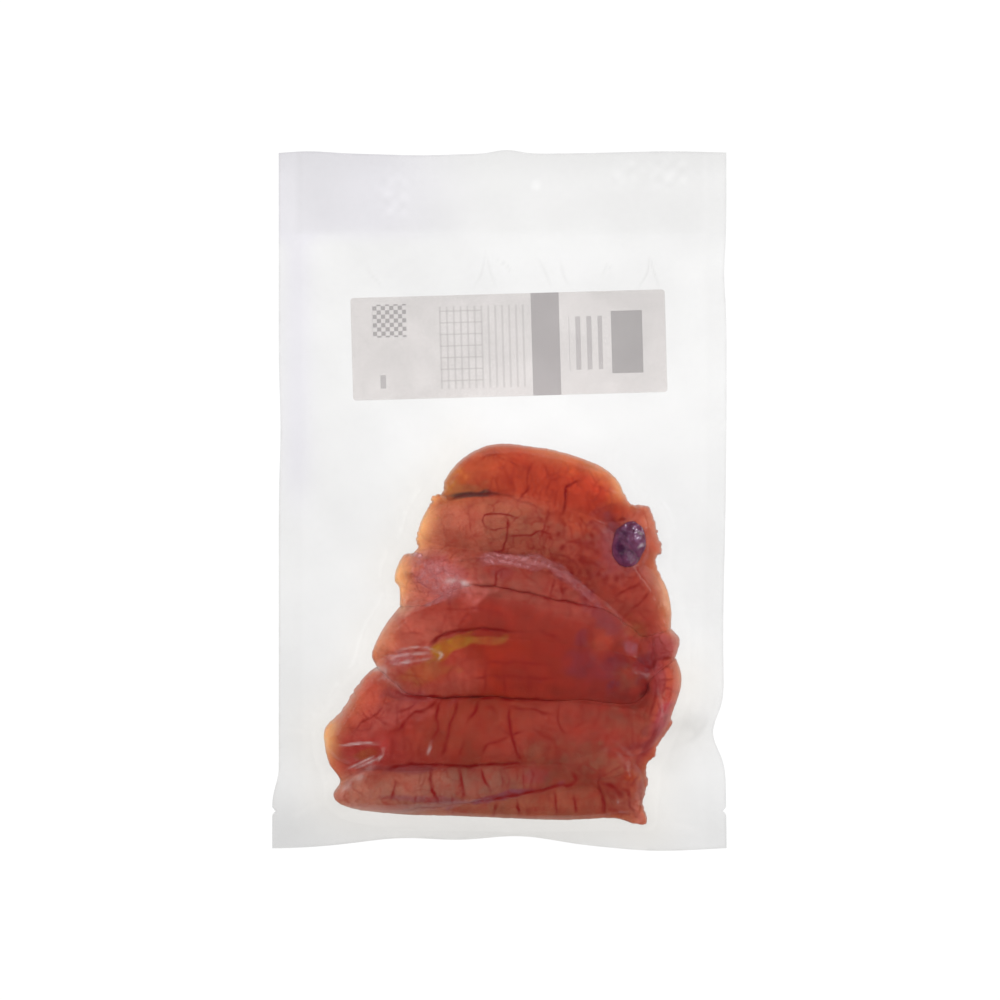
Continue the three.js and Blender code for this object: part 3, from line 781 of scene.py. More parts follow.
for tint, share in (
    (BLUSH_RED, blush_share.outputs["Result"]),
    (NET_RED, net_share.outputs["Value"]),
    # painted shade along the creases
    (CREASE_SHADE_RED, stored["crease"].outputs["Fac"]),
    (VEIN_RED, stored["vein"].outputs["Fac"]),
    # painted glow at thin edges
    (PAINTED_GLOW_AMBER, stored["rim"].outputs["Fac"]),
):
    layer = add_node(roe, "ShaderNodeMix", {7: linear(tint)}, {0: share, 6: colour}, data_type="RGBA")
    colour = layer.outputs[2]
relief = add_node(roe, "ShaderNodeBump", {"Strength": 0.25, "Distance": 0.3 * MM},
                  {"Height": eggs.outputs["Distance"]})
raw_flesh = add_node(roe, "ShaderNodeBsdfPrincipled",
                     {"Roughness": 0.42, "IOR": 1.36, "Specular IOR Level": 0.25, "Subsurface Weight": 0.45,
                      "Subsurface Radius": (1.0, 0.35, 0.22), "Subsurface Scale": 1.3 * MM},
                     {"Base Color": colour, "Normal": relief.outputs["Normal"]})
add_node(roe, "ShaderNodeOutputMaterial", {}, {"Surface": raw_flesh.outputs["BSDF"]})
print("roe material:", len(roe.node_tree.nodes), "nodes")

# %% [markdown]
# ## Cutting the three sacs
# Each sac is a closed body: the back and the underside on the same grid, joined by a wall. Points at its
# border slide onto the drawn line, so that the edge is smooth and neighbours meet exactly.

# %% A mesh that rides, and values stored at its points
def mesh_object(name, vertices, faces, material):
    """A smooth-shaded mesh from points in mm. It rides on the part's only body and stands for the pouch."""
    mesh = bpy.data.meshes.new(name)
    mesh.from_pydata((np.asarray(vertices) * MM).tolist(), [], faces)
    mesh.shade_smooth()
    mesh.materials.append(material)
    piece = bpy.data.objects.new(name, mesh)
    bpy.context.scene.collection.objects.link(piece)
    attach(piece, "root")
    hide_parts("sealed_pouch")
    return piece


def store(piece, name, values):
    """Keeps a number, or a colour, at each point of a mesh, where its material can read it."""
    is_colour = np.ndim(values) == 2
    attribute = piece.data.attributes.new(name, "FLOAT_COLOR" if is_colour else "FLOAT", "POINT")
    attribute.data.foreach_set("color" if is_colour else "value", np.ravel(values).astype(np.float32))


def grid_faces(rows, columns, closed=False):
    """Quads between rows of points; closed joins each row's last point to its first."""
    faces = []
    for r in range(rows - 1):
        for c in range(columns if closed else columns - 1):
            a, b = r * columns + c, r * columns + (c + 1) % columns
            faces.append((a, b, b + columns, a + columns))
    return faces


# %% The flesh's colour and painted glow at each point
BLEND = 2.4  # mm over which one lobe's tone turns into the next
TONE_PLACES = (0.08, 0.45, 0.9)  # where along a lobe its three tones lie
INNER_LIGHT = (1.12, 1.27, 1.42)  # light that spreads inside the flesh brightens it, so its base is darker
RIM_DEPTH = 2.2
GLOW_DEPTH = 6
EDGE_GLOW_SHARE = 0.14
# Place, reach, and how much of the painted amber glow shows there
GLOWS = [
    ((-24, 6), 8, 0.08),
    ((8, 25), 20, 0.03),
    ((26, 21), 13, 0.2),
    ((45, 13), 10, 0.24),
    ((54, 7), 8, 0.42),
    ((-30, 1), 3.5, 0.6),
    ((-35, -12), 11, 0.8),
    ((-46, -34), 9, 0.95),
    ((-45, -45), 6, 0.25),
    ((-52, -62), 12, 0.2),
    ((-66, -91), 9, 0.16),
    ((-78, -106), 10, 0.78),
    ((76, -44), 15, 0.36),
    ((81, -77), 7, 0.16),
]


def flesh_colour(xy):
    """The lobes' tones, mixed where they meet, under the stains, and the strength of the net of veins."""
    total = np.zeros((len(xy), 4))
    weight = np.zeros(len(xy))
    drift = 0.06 * ripples(xy, 14, 51)
    for lobe in LOBES.values():
        nearest = np.full(len(xy), np.inf)
        way = np.zeros(len(xy))
        for number, (point, half) in enumerate(zip(lobe["points"], lobe["halves"])):
            away = np.hypot(xy[:, 0] - point[0], xy[:, 1] - point[1]) - half
            closer = away < nearest
            nearest[closer] = away[closer]
            way[closer] = (number + 1) / (STATIONS + 1)
        tones = np.array([linear(tone)[:3] for tone in lobe["tones"]])
        tones = np.column_stack([tones, np.broadcast_to(lobe["net"], 3)])
        tone = np.stack([np.interp(way + drift, TONE_PLACES, tones[:, c]) for c in range(4)], axis=1)
        share = np.exp(np.clip(-nearest / BLEND, -40, 40))
        total += tone * share[:, None]
        weight += share
    colour = total / weight[:, None]
    for code, *shape in STAINS:
        share = stain_share(xy, *shape)[:, None]
        colour[:, :3] = colour[:, :3] * (1 - share) + np.array(linear(code)[:3]) * share
    colour[:, :3] /= INNER_LIGHT
    return colour


def painted_rim_glow(xy, depth):
    """How much painted glow lights the thin edge, where light would shine through it."""
    glow_here = np.zeros(len(xy))
    for at, reach, share in GLOWS:
        glow_here = np.maximum(glow_here, share * bell(np.hypot(*(xy - at).T), 0, reach))
    edge = EDGE_GLOW_SHARE * bell(depth, 0, RIM_DEPTH)
    return np.clip(edge + glow_here * bell(depth, 0, GLOW_DEPTH), 0, 0.95)


# %% Build the sacs
SEAM_OVERLAP = 0.1  # mm by which a sac reaches under its neighbour, so that no light shows between them
ROUNDED = 2  # mm of wall above the level at which the films meet; the rest of the side is round


def closed_cake(ring):
    """A sac's points, its faces with the walls last, which walls are flat, and each upper point's place."""
    inside = depth_inside(ring, spots) > 0.3 * GRAIN
    number_of = np.full(len(spots), -1)
    rows, columns = grid.shape[:2]
    chosen = inside.reshape(rows, columns)
    cells = chosen[:-1, :-1] & chosen[:-1, 1:] & chosen[1:, :-1] & chosen[1:, 1:]
    corner = (np.argwhere(cells) @ [columns, 1])[:, None] + [0, 1, columns + 1, columns]
    used = np.unique(corner)
    number_of[used] = np.arange(len(used))
    top_faces = number_of[corner]
    links = np.concatenate([top_faces[:, [k, (k + 1) % 4]] for k in range(4)])
    keys = {tuple(link) for link in links.tolist()}
    border = [(a, b) for a, b in keys if (b, a) not in keys]
    rim_points = np.unique(border)
    points = spots[used].copy()
    level = back[used]
    onto = nearest_on(ring, points[rim_points])[0]
    outward = onto - points[rim_points]
    points[rim_points] = onto + SEAM_OVERLAP * outward / (np.linalg.norm(outward, axis=1)[:, None] + 1e-6)
    at_seam = np.zeros(len(used), bool)
    at_seam[rim_points] = spot_depth[used[rim_points]] > 1
    level[at_seam] = roe_top(points[at_seam])
    outer = rim_points[~at_seam[rim_points]]
    level[outer] = np.minimum(level[outer], RIM_LEVEL + ROUNDED)
    count = len(used)
    walls = [(b, a, count + a, count + b) for a, b in border]
    faces = top_faces.tolist() + (top_faces[:, ::-1] + count).tolist() + walls
    vertices = np.vstack([np.column_stack([points, level]), np.column_stack([points, under[used]])])
    return vertices, faces, [at_seam[a] and at_seam[b] for a, b in border], used


for name, stretches in SACS.items():
    vertices, faces, flat_walls, used = closed_cake(np.vstack(stretches))
    piece = mesh_object(name, vertices, faces, roe)
    # Flat walls keep the smooth shading of the back out of the seams
    smooth = np.concatenate([np.ones(len(faces) - len(flat_walls), bool), ~np.array(flat_walls)])
    piece.data.polygons.foreach_set("use_smooth", smooth)
    xy = spots[used]
    store(piece, "flesh", np.tile(flesh_colour(xy), (2, 1)))
    store(piece, "vein", np.tile(vein_darkness(xy), 2))
    store(piece, "crease", np.tile(spot_crease_shade[used], 2))
    store(piece, "rim", np.tile(painted_rim_glow(xy, spot_depth[used]), 2))
    print(name, "has", 2 * len(faces), "triangles")

# %% [markdown]
# ## The blood clot
# Near the upper right sits a dark purple clot, the size of a grape pressed flat, with a wet shine. It is
# a lens with a lumpy back: rings of points from its rim to its middle, laid on the roe, and a flat bottom
# that dips in.

# %% Clotted blood, the material and the piece
clotted = new_material("clotted_blood")
place = add_node(clotted, "ShaderNodeNewGeometry").outputs["Position"]
clouds = add_node(clotted, "ShaderNodeTexNoise", {"Scale": 1 / (5 * MM), "Detail": 4}, {"Vector": place})
blood = add_node(clotted, "ShaderNodeMix", {6: linear("#32142A"), 7: linear("#64344E")}, data_type="RGBA")
cloud_share = add_node(clotted, "ShaderNodeMapRange", {"From Min": 0.35, "From Max": 0.7},
                       {"Value": clouds.outputs["Fac"]})
clotted.node_tree.links.new(cloud_share.outputs["Result"], blood.inputs[0])
crumple = add_node(clotted, "ShaderNodeAttribute", attribute_name="crumple")
margin = add_node(clotted, "ShaderNodeAttribute", attribute_name="margin")
mauve = add_node(clotted, "ShaderNodeTexNoise", {"Scale": 1 / (2.2 * MM), "Detail": 3}, {"Vector": place})
mauve_patch = add_node(clotted, "ShaderNodeMapRange", {"From Min": 0.4, "From Max": 0.65},
                       {"Value": mauve.outputs["Fac"]})
mauve_share = add_node(clotted, "ShaderNodeMath", {},
                       {0: mauve_patch.outputs["Result"], 1: crumple.outputs["Fac"]}, operation="MULTIPLY")
# White flecks on the crumpled upper right are painted glints of the creased film over the clot
glint_cells = add_node(clotted, "ShaderNodeTexVoronoi", {"Scale": 1 / (1.2 * MM)}, {"Vector": place})
glint_spot = add_node(clotted, "ShaderNodeMapRange",
                 {"From Min": 0.16, "From Max": 0.32, "To Min": 1, "To Max": 0},
                 {"Value": glint_cells.outputs["Distance"]})
painted_glint_share = add_node(clotted, "ShaderNodeMath", {},
                       {0: glint_spot.outputs["Result"], 1: mauve_share.outputs["Value"]}, operation="MULTIPLY")
colour = blood.outputs[2]
for tint, share in (
    ("#866080", mauve_share.outputs["Value"]),
    # painted glints
    ("#F0E4F0", painted_glint_share.outputs["Value"]),
    ("#5C2638", margin.outputs["Fac"]),
):
    layer = add_node(clotted, "ShaderNodeMix", {7: linear(tint)}, {0: share, 6: colour}, data_type="RGBA")
    colour = layer.outputs[2]
pimples = add_node(clotted, "ShaderNodeBump", {"Strength": 0.7, "Distance": 0.5 * MM},
                   {"Height": mauve.outputs["Fac"]})
wet_clot = add_node(clotted, "ShaderNodeBsdfPrincipled",
                    {"Roughness": 0.16, "IOR": 1.36, "Subsurface Weight": 0.2, "Subsurface Scale": 1.5 * MM,
                     "Coat Weight": 0.12, "Coat Roughness": 0.12},
                    {"Base Color": colour, "Normal": pimples.outputs["Normal"]})
add_node(clotted, "ShaderNodeOutputMaterial", {}, {"Surface": wet_clot.outputs["BSDF"]})

CLOT_AT = (57, -19.8)
CLOT_REACH = (7.5, 10)
CLOT_TURN = -14
CLOT_RISE = 2.2
CLOT_SINK = 1.5  # mm by which it sits in the roe
RINGS = 26
SPOKES = 96


def oval_points(at, reach, turn, ragged, seed):
    """Rings of points in an oval with a ragged edge, from its rim inwards, and how far out each ring lies."""
    spokes = np.linspace(0, math.tau, SPOKES, endpoint=False)
    edge = np.stack([np.cos(spokes), np.sin(spokes)], axis=1)
    wobble = 1 + ragged * ripples(edge * 10, 6, seed) + 0.4 * ragged * ripples(edge * 10, 2, seed + 1)
    out = np.sin(np.linspace(1, 0.02, RINGS) * math.pi / 2)
    flat = out[:, None, None] * (edge * wobble[:, None] * reach)[None]
    c, s = math.cos(math.radians(turn)), math.sin(math.radians(turn))
    turned = np.stack([flat[..., 0] * c - flat[..., 1] * s, flat[..., 0] * s + flat[..., 1] * c], axis=2)
    return (turned + at).reshape(-1, 2), np.repeat(out, SPOKES)


xy, out = oval_points(CLOT_AT, CLOT_REACH, CLOT_TURN, 0.03, 61)
clot_base = roe_top(xy)
clot_level = np.median(clot_base)
clot_base = np.maximum(clot_base, clot_level - CLOT_SINK)
dome = np.sqrt(np.clip(1 - out**2, 0, 1)) ** 0.8
clot_back = clot_base + 0.2 + CLOT_RISE * dome * (1 + 0.06 * ripples(xy, 3, 62))
clot_bottom = clot_base - CLOT_SINK - dome
vertices = np.vstack([np.column_stack([xy, level]) for level in (clot_back, clot_bottom)])
count = len(xy)
faces = grid_faces(RINGS, SPOKES, closed=True)
faces += [tuple(count + corner for corner in reversed(face)) for face in faces]
faces += [((k + 1) % SPOKES, k, count + k, count + (k + 1) % SPOKES) for k in range(SPOKES)]
faces += [tuple(range(count - SPOKES, count)), tuple(reversed(range(2 * count - SPOKES, 2 * count)))]
clot = mesh_object("blood_clot", vertices, faces, clotted)
leaning = (xy - CLOT_AT) @ [0.6, 0.8] / CLOT_REACH[0]
store(clot, "crumple", np.tile(0.85 * ramp(leaning, -0.1, 0.8), 2))
store(clot, "margin", np.tile(0.6 * ramp(out, 0.7, 1), 2))
print("the clot lies", round(float(clot_level), 1), "mm above the table")

# %% [markdown]
# ## Thin skins
# Between the lobes, shreds of the ovary's skin have been pressed flat: a long pinkish ribbon that crosses
# the upper lobes, and a mottled patch on the left. They are almost see-through, so each is a single sheet
# laid on the roe, whose stored cover fades out at the edges. Mottles come from a noise.

# %% Ovary skin, the material
ovary_skin = new_material("ovary_skin")
place = add_node(ovary_skin, "ShaderNodeNewGeometry").outputs["Position"]
cover = add_node(ovary_skin, "ShaderNodeAttribute", attribute_name="cover")
mottle = add_node(ovary_skin, "ShaderNodeTexNoise", {"Scale": 1 / (2.4 * MM), "Detail": 4, "Roughness": 0.6},
                  {"Vector": place})
mottled = add_node(ovary_skin, "ShaderNodeMapRange", {"From Min": 0.35, "From Max": 0.65, "To Min": 0.4},
                   {"Value": mottle.outputs["Fac"]})
opacity = add_node(ovary_skin, "ShaderNodeMath", {},
                   {0: cover.outputs["Fac"], 1: mottled.outputs["Result"]}, operation="MULTIPLY")
skin_tone = add_node(ovary_skin, "ShaderNodeMix", {6: linear("#B2565C"), 7: linear("#D49698")},
                     {0: opacity.outputs["Value"]}, data_type="RGBA")
skin = add_node(ovary_skin, "ShaderNodeBsdfPrincipled", {"Roughness": 0.3},
                {"Base Color": skin_tone.outputs[2]})
clear = add_node(ovary_skin, "ShaderNodeBsdfTransparent", {"Color": (1, 1, 1, 1)})
skin_mix = add_node(ovary_skin, "ShaderNodeMixShader", {},
                    {0: opacity.outputs["Value"], 1: clear.outputs["BSDF"], 2: skin.outputs["BSDF"]})
add_node(ovary_skin, "ShaderNodeOutputMaterial", {}, {"Surface": skin_mix.outputs["Shader"]})

# %% Lay the skins on the roe
SKIN_GAP = 0.12
RIBBONS = {
    "skin_ribbon": dict(widths=[5, 8, 9, 8.5, 6.5, 5, 3], cover=0.7, points=[
        (-11, -29), (-4.5, -26), (8, -27), (21.5, -28.5), (29.5, -34), (40.5, -43), (48, -51)]),
    "skin_fold_left": dict(widths=[2, 3.5, 4, 1], cover=0.6, points=[
        (-34, -47), (-26, -43.5), (-19, -37.6), (-12, -38)]),
    "skin_fold_right": dict(widths=[2, 3, 4, 2], cover=0.12, points=[
        (36, -58), (37, -62), (42, -70), (50, -79)]),
    "skin_clot_halo": dict(widths=[3, 6, 7, 7, 6, 3], cover=0.14, points=[
        (51.5, -9.5), (48.3, -15), (47.8, -22), (50, -28), (55, -31.5), (60, -30.5)]),
    "skin_edge_right": dict(widths=[2, 3.5, 3.5, 1], cover=0.2, points=[
        (70, -86), (71, -95), (67, -105), (60, -112)]),
}
PATCHES = {
    "skin_patch_left": dict(at=(-26.5, -34.5), reach=(17, 11.5), turn=-22, cover=0.55),
    "skin_patch_corner": dict(at=(-36.5, -24.5), reach=(3.5, 1.6), turn=-20, cover=0.9),
    "skin_patch_clot": dict(at=(55.5, -19), reach=(12.5, 14.5), turn=-8, cover=0.3),
    "skin_patch_tip": dict(at=(-44, -70), reach=(9, 4.5), turn=10, cover=0.45),
}
ACROSS = 13

for name, ribbon in RIBBONS.items():
    line = smooth_line(ribbon["points"], 0.8)
    along = np.gradient(line, axis=0)
    along /= np.linalg.norm(along, axis=1)[:, None]
    side = np.stack([along[:, 1], -along[:, 0]], axis=1)
    way = np.linspace(0, 1, len(line))
    width = np.interp(way, np.linspace(0, 1, len(ribbon["widths"])), ribbon["widths"])
    width = width * (1 + 0.18 * ripples(line, 5, 71))
    q = np.linspace(-1, 1, ACROSS)
    xy = (line[:, None] + side[:, None] * (width[:, None] / 2 * q)[..., None]).reshape(-1, 2)
    top = roe_top(xy) + SKIN_GAP
    piece = mesh_object(name, np.column_stack([xy, top]), grid_faces(len(line), ACROSS), ovary_skin)
    soft_ends = ramp(way, 0, 0.12) * (1 - ramp(way, 0.85, 1)) * (1 - 0.55 * way)
    store(piece, "cover", ribbon["cover"] * (soft_ends[:, None] * ramp(1 - np.abs(q), 0, 0.5)).ravel())
for name, patch in PATCHES.items():
    xy, out = oval_points(patch["at"], patch["reach"], patch["turn"], 0.12, 81)
    top = roe_top(xy)
    middle = tuple(range(len(xy) - SPOKES, len(xy)))
    piece = mesh_object(name, np.column_stack([xy, top + SKIN_GAP]),
                        grid_faces(RINGS, SPOKES, closed=True) + [middle], ovary_skin)
    store(piece, "cover", patch["cover"] * (1 - ramp(out, 0.4, 1)) * (top > 3))
print(len(RIBBONS), "ribbons and", len(PATCHES), "patches of skin")

# %% [markdown]
# ## The two films
# The pouch is two sheets of clear polyamide and polyethylene film, sealed along three sides and, after
# the air was drawn out, across the mouth. Cloth simulation could drape them, but under vacuum the film
# does something simpler: it lies on whatever is below it and spans the rest as tightly as it can. So the
# upper sheet starts as the roe's own height and is averaged with its neighbours again and again, never
# below the roe. Inside the outline few rounds are enough, because the vacuum pulls it into every crease.

# %% The sheets' edges and points
HALF_WIDTH = 100
FOOT = -155.2
HEAD = 155.2
FINE_LEFT, FINE_RIGHT, FINE_FOOT, FINE_HEAD = -85, 85, -147.5, 30  # the part with the roe
BORDER = np.array([0, 0.5, 1, 1.6])  # mm from the edge to the first rows of points
FINE_STEP = 0.75
COARSE_STEP = 1.6
NOTCH_AT = FOOT + 16
NOTCH_DEPTH = 1.8
NOTCH_HALF = 1.2


def hills(t, *shapes):
    """The sum of some smooth hills, each given by its height, centre and reach."""
    return sum(height * bell(t, centre, reach) for height, centre, reach in shapes)


def notch(y):
    """How deep the tear notch cuts into a side edge."""
    return NOTCH_DEPTH * np.maximum(0, 1 - np.abs(y - NOTCH_AT) / NOTCH_HALF)


def left_edge(y):
    return -HALF_WIDTH + 0.8 + hills(y, (0.9, 32, 22)) - 2.8 * ramp(-y, 120, 136) + notch(y)


def right_edge(y):
    return HALF_WIDTH + 1.5 - hills(y, (5.6, -104, 11), (1.4, -62, 50), (1, 101, 14)) - notch(y)


def foot_edge(x):
    return FOOT + hills(x, (3.9, -42, 26), (4.8, 8, 24), (-2, 74, 26), (-0.8, -101, 26))


def head_edge(x):
    return HEAD + hills(x, (1.1, -86, 14), (-0.9, -36, 20), (1.7, 3, 8), (1.1, 76, 30))


def spread(low, fine_low, fine_high, high, fine, coarse):
    """Places from low to high, close together over the roe and at both borders."""
    parts = [low + BORDER, np.arange(low + 2.4, fine_low, coarse), np.arange(fine_low, fine_high, fine),
             np.arange(fine_high, high - 2.4, coarse), high - BORDER[::-1]]
    return np.concatenate(parts)


def stretch(t, fixed, border, edge):
    """Moves places between a fixed line and a straight border, so that the border falls on a wavy edge."""
    return fixed + (t - fixed) / (border - fixed) * (edge - fixed)


def sheet_points(fine, coarse):
    """Rows of points over the pouch, whose outer rows and columns follow its wavy edges."""
    x = spread(-HALF_WIDTH, FINE_LEFT, FINE_RIGHT, HALF_WIDTH, fine, coarse)
    y = spread(FOOT, FINE_FOOT, FINE_HEAD, HEAD, fine, coarse)
    x, y = np.meshgrid(x, y)
    new_x = np.where(x < FINE_LEFT, stretch(x, FINE_LEFT, -HALF_WIDTH, left_edge(y)), x)
    new_x = np.where(x > FINE_RIGHT, stretch(x, FINE_RIGHT, HALF_WIDTH, right_edge(y)), new_x)
    new_y = np.where(y < FINE_FOOT, stretch(y, FINE_FOOT, FOOT, foot_edge(x)), y)
    new_y = np.where(y > FINE_HEAD, stretch(y, FINE_HEAD, HEAD, head_edge(x)), new_y)
    return np.stack([new_x, new_y], axis=2)


# %% How high the sheets lie
LABEL_LIFT = 0.4
LEAST_LIFT = 0.08  # a film's own thickness
SHEET_GAP = 0.25
FILM_GAP = 0.35
# Place, reach along x and y, and rise
WAVES_IN_FILM = [
    ((99, -103), (15, 17), 6),
    ((-101, -150), (18, 16), 2.5),
    ((-40, -156), (24, 9), 2.5),
    ((12, -156), (18, 9), 3),
    ((101, -152), (20, 13), 2),
    ((-101, 35), (10, 34), 2),
    ((101, 62), (9, 46), 1.6),
    ((-36, 157), (26, 15), 2.5),
    ((40, 157), (18, 12), 1.3),
]


def hill(points, at, reach):
    """A smooth hill of height 1 over a place, wider or narrower along x and y."""
    return bell(points[..., 0], at[0], reach[0]) * bell(points[..., 1], at[1], reach[1])


def lower_height(points, depth):
    """The lower film: flat on the table, up to the waist of the roe, and lifted a little by waves."""
    outside = np.exp(-((np.minimum(depth, 0) / SKIRT_OUTWARD) ** 2))
    inside = np.clip(1 - depth / SKIRT_INWARD, 0, 1) ** 2
    height = SKIRT_RISE * np.where(depth < 0, outside, inside)
    height = np.maximum(height, LABEL_LIFT * ramp(points[..., 1], 30, 38))
    for at, reach, rise in WAVES_IN_FILM:
        height = height + rise * hill(points, at, reach)
    return height + LEAST_LIFT


# %% [markdown]
# Film that is drawn tight still keeps small folds, and they catch the light as thin pale lines. The clear
# ones in the photograph are listed, and a few dozen small ones run outwards from the roe at seeded
# places.

# %% The folds in the upper film
FAINT = 0.04  # how white any fold is

# Width, rise, how white the crease is (its own whitening and a painted highlight), how grey painted shade
# makes it, and the points that it runs through
FOLDS = [
    (0.5, 0.5, 0.2, 0, [(-49, -70), (-40, -68), (-30, -67.5)]),
    (0.5, 0.6, 0.2, 0, [(-47, -72.5), (-38, -71), (-29, -69.5)]),
    (0.45, 0.4, 0.18, 0, [(-46, -66.5), (-37, -65), (-31, -65.5), (-28, -67)]),
    (0.5, 0.4, 0.3, 0, [(-27.5, -66.5), (-25.5, -68.5), (-27.5, -70.5)]),
    (1.4, 0.4, 0.26, 0, [(-57, -74.6), (-53.5, -75.2), (-49.5, -75.2)]),
    (1.3, 0.1, 0.06, 0, [(-56, -74.5), (-50, -78.6), (-45.5, -82.2), (-41, -86.3)]),
    (1.3, 0.8, 0.3, 0, [(-24.5, -35.6), (-19, -36), (-13, -37.4)]),
    (0.45, 0.7, 0.3, 0, [(-71, -108.8), (-61, -107.3), (-53, -107.5)]),
    (0.5, 0.9, 0.35, 0, [(-51, -109.5), (-54, -114), (-64, -119)]),
    (0.45, 0.6, 0.25, 0, [(-53, -112), (-60, -115.5), (-68, -119.5)]),
    (0.45, 0.6, 0.3, 0, [(-52, -109.5), (-51.5, -112), (-54.5, -116)]),
    (1.7, 0.9, 0.13, 0, [(-54.5, -116), (-64, -124), (-74, -133.5)]),
    (0.6, 0.8, 0.18, 0, [(-30.5, -106.5), (-31, -109.5), (-32, -112.5)]),
    (0.8, 0.25, 0.04, 0, [(50, -106), (56, -111), (63, -117)]),
    (0.8, 0.2, 0.04, 0, [(45, -110), (52, -112), (56, -118)]),
    (0.5, 0.6, 0.08, 0, [(69, -82), (72, -92), (69, -103)]),
    (0.4, 0.4, 0.08, 0, [(72, -84), (73.5, -90), (72, -97)]),
    (0.5, 0.4, 0.06, 0, [(45, -44), (52, -51), (57, -58)]),
    (0.5, 0.5, 0.22, 0, [(59.5, -13.5), (62.5, -15), (63, -19)]),
    (0.4, 0.4, 0.25, 0, [(60, -16.5), (62, -17.5), (64, -17)]),
    (0.45, 0.4, 0.25, 0, [(61, -21.5), (63, -19.5), (64.5, -20)]),
    (0.4, 0.2, 0.3, 0, [(56, -28), (57, -28.8), (57.6, -28.2)]),
    (0.6, 0.3, 0.4, 0, [(52, -133), (53, -134.5)]),
    (0.6, 0.35, FAINT, 0.2, [(-12.5, 95), (-8.5, 101), (-6.5, 111)]),
    (0.6, 0.35, FAINT, 0.2, [(-6.5, 111), (-4.5, 103), (-1.5, 95)]),
    (0.5, 0.25, FAINT, 0.2, [(-2, 108), (3, 105), (5, 101)]),
    (0.6, 0.35, FAINT, 0.25, [(17, 108), (20, 103), (23, 95)]),
    (0.6, 0.35, FAINT, 0.25, [(27, 107), (28.5, 101), (31, 96)]),
    (0.6, 0.3, FAINT, 0.25, [(46, 101), (48, 105), (50, 102)]),
    (0.6, 0.35, FAINT, 0.28, [(62, 95), (66, 102), (67, 109)]),
    (0.6, 0.35, FAINT, 0.28, [(67, 109), (69, 102), (71.5, 95)]),
    (0.6, 0.3, FAINT, 0.2, [(-60, 104), (-56, 99), (-52, 95)]),
    # the next two grey the film with the painted shadow beside the wave
    (1.3, 0.8, FAINT, 0.28, [(93, -96), (91, -101), (88, -105), (83, -108.5)]),
    (1.3, 0.6, FAINT, 0.1, [(99, -84), (96, -92), (93, -97)]),
    (0.7, 0.4, FAINT, 0, [(72, 46), (75, 70), (77, 92)]),
    (1.4, 0.7, FAINT, 0, [(-78, -106), (-88, -103), (-98, -104)]),
    (1.4, 0.6, FAINT, 0, [(80, -72), (88, -78), (98, -80)]),
    (1.6, 0.9, FAINT, 0, [(77, -103), (86, -106), (97, -112)]),
    (1.4, 0.7, FAINT, 0, [(67, -144), (80, -146), (96, -150)]),
    (1.4, 0.8, FAINT, 0, [(-75, -134), (-86, -138), (-99, -146)]),
]
SMALL_FOLDS = 46

folds = [(*fold, smooth_line(points, 1.5)) for *fold, points in FOLDS]
random = np.random.default_rng(17)
middle = np.array([5.0, -65.0])
while len(folds) < len(FOLDS) + SMALL_FOLDS:
    spot = np.array([random.uniform(-80, 84), random.uniform(-146, 26)])
    depth = depth_inside(outline, spot[None])[0]
    if not -9 < depth < 0.5:
        continue
    heading = (spot - middle) / np.linalg.norm(spot - middle)
    heading = heading + random.normal(0, 0.25, 2)
    length = random.uniform(4, 13)
    line = spot + np.linspace(-0.3, 1, 8)[:, None] * heading * length
    line = line + 0.4 * ripples(line, 4, len(folds))[:, None]
    folds.append((random.uniform(0.5, 1.1), random.uniform(0.15, 0.5), FAINT, 0, line))
print(len(folds), "folds")


def fold_height(xy):
    """What the folds add to the film's height, how white the creased film is, partly its own whitening and
    partly painted highlight, and how grey painted shade makes it.
    """
    height, white, grey = np.zeros((3, len(xy)))
    for width, rise, whiteness, greyness, line in folds:
        near = close_to(line, xy, 6)
        distance, way = line_distance(xy[near], line)
        ridge = bell(distance, 0, width) * np.sin(math.pi * np.clip(way, 0.03, 0.97)) ** 0.7
        height[near] += rise * ridge
        broken = np.clip(0.7 + 0.5 * ripples(xy[near], 3, 77), 0.1, 1)
        white[near] = np.maximum(white[near], whiteness * ridge * broken)
        grey[near] = np.maximum(grey[near], greyness * ridge)
    return height, white, grey


# %% [markdown]
# ## Clear film, the material
# Polyamide and polyethylene film is blown and laminated, 0.08 mm thick, glossy and slightly milky. Light
# mostly passes straight through it, so it is a transparent surface with a faint grey tint, a trace of
# white haze and the mirror of a clear coat, which Fresnel makes stronger at a glance. Where the sheets
# are sealed it is smokier. Along folds it is whiter and greyer: its own whitening, painted highlight and
# painted shade. Broad painted shade and light darken and lighten it here and there, and a painted warm
# shadow tints it beside the roe; the meshes store that tint.

# %% Make the film material
film = new_material("clear_vacuum_film")
place = add_node(film, "ShaderNodeNewGeometry").outputs["Position"]
tint = add_node(film, "ShaderNodeAttribute", attribute_name="tint")
haze = add_node(film, "ShaderNodeAttribute", attribute_name="haze")
ripple = add_node(film, "ShaderNodeTexNoise", {"Scale": 1 / (14 * MM), "Detail": 3}, {"Vector": place})
clear = add_node(film, "ShaderNodeBsdfTransparent", {}, {"Color": tint.outputs["Color"]})
milk = add_node(film, "ShaderNodeBsdfDiffuse", {"Color": linear("#F4F1EE")})
hazy = add_node(film, "ShaderNodeMixShader", {},
                {0: haze.outputs["Fac"], 1: clear.outputs["BSDF"], 2: milk.outputs["BSDF"]})
soft_bumps = add_node(film, "ShaderNodeBump", {"Strength": 0.12, "Distance": 1.2 * MM},
                      {"Height": ripple.outputs["Fac"]})
gloss = add_node(film, "ShaderNodeBsdfGlossy", {"Color": (1, 1, 1, 1), "Roughness": 0.14},
                 {"Normal": soft_bumps.outputs["Normal"]})
glance = add_node(film, "ShaderNodeFresnel", {"IOR": 1.27}, {"Normal": soft_bumps.outputs["Normal"]})
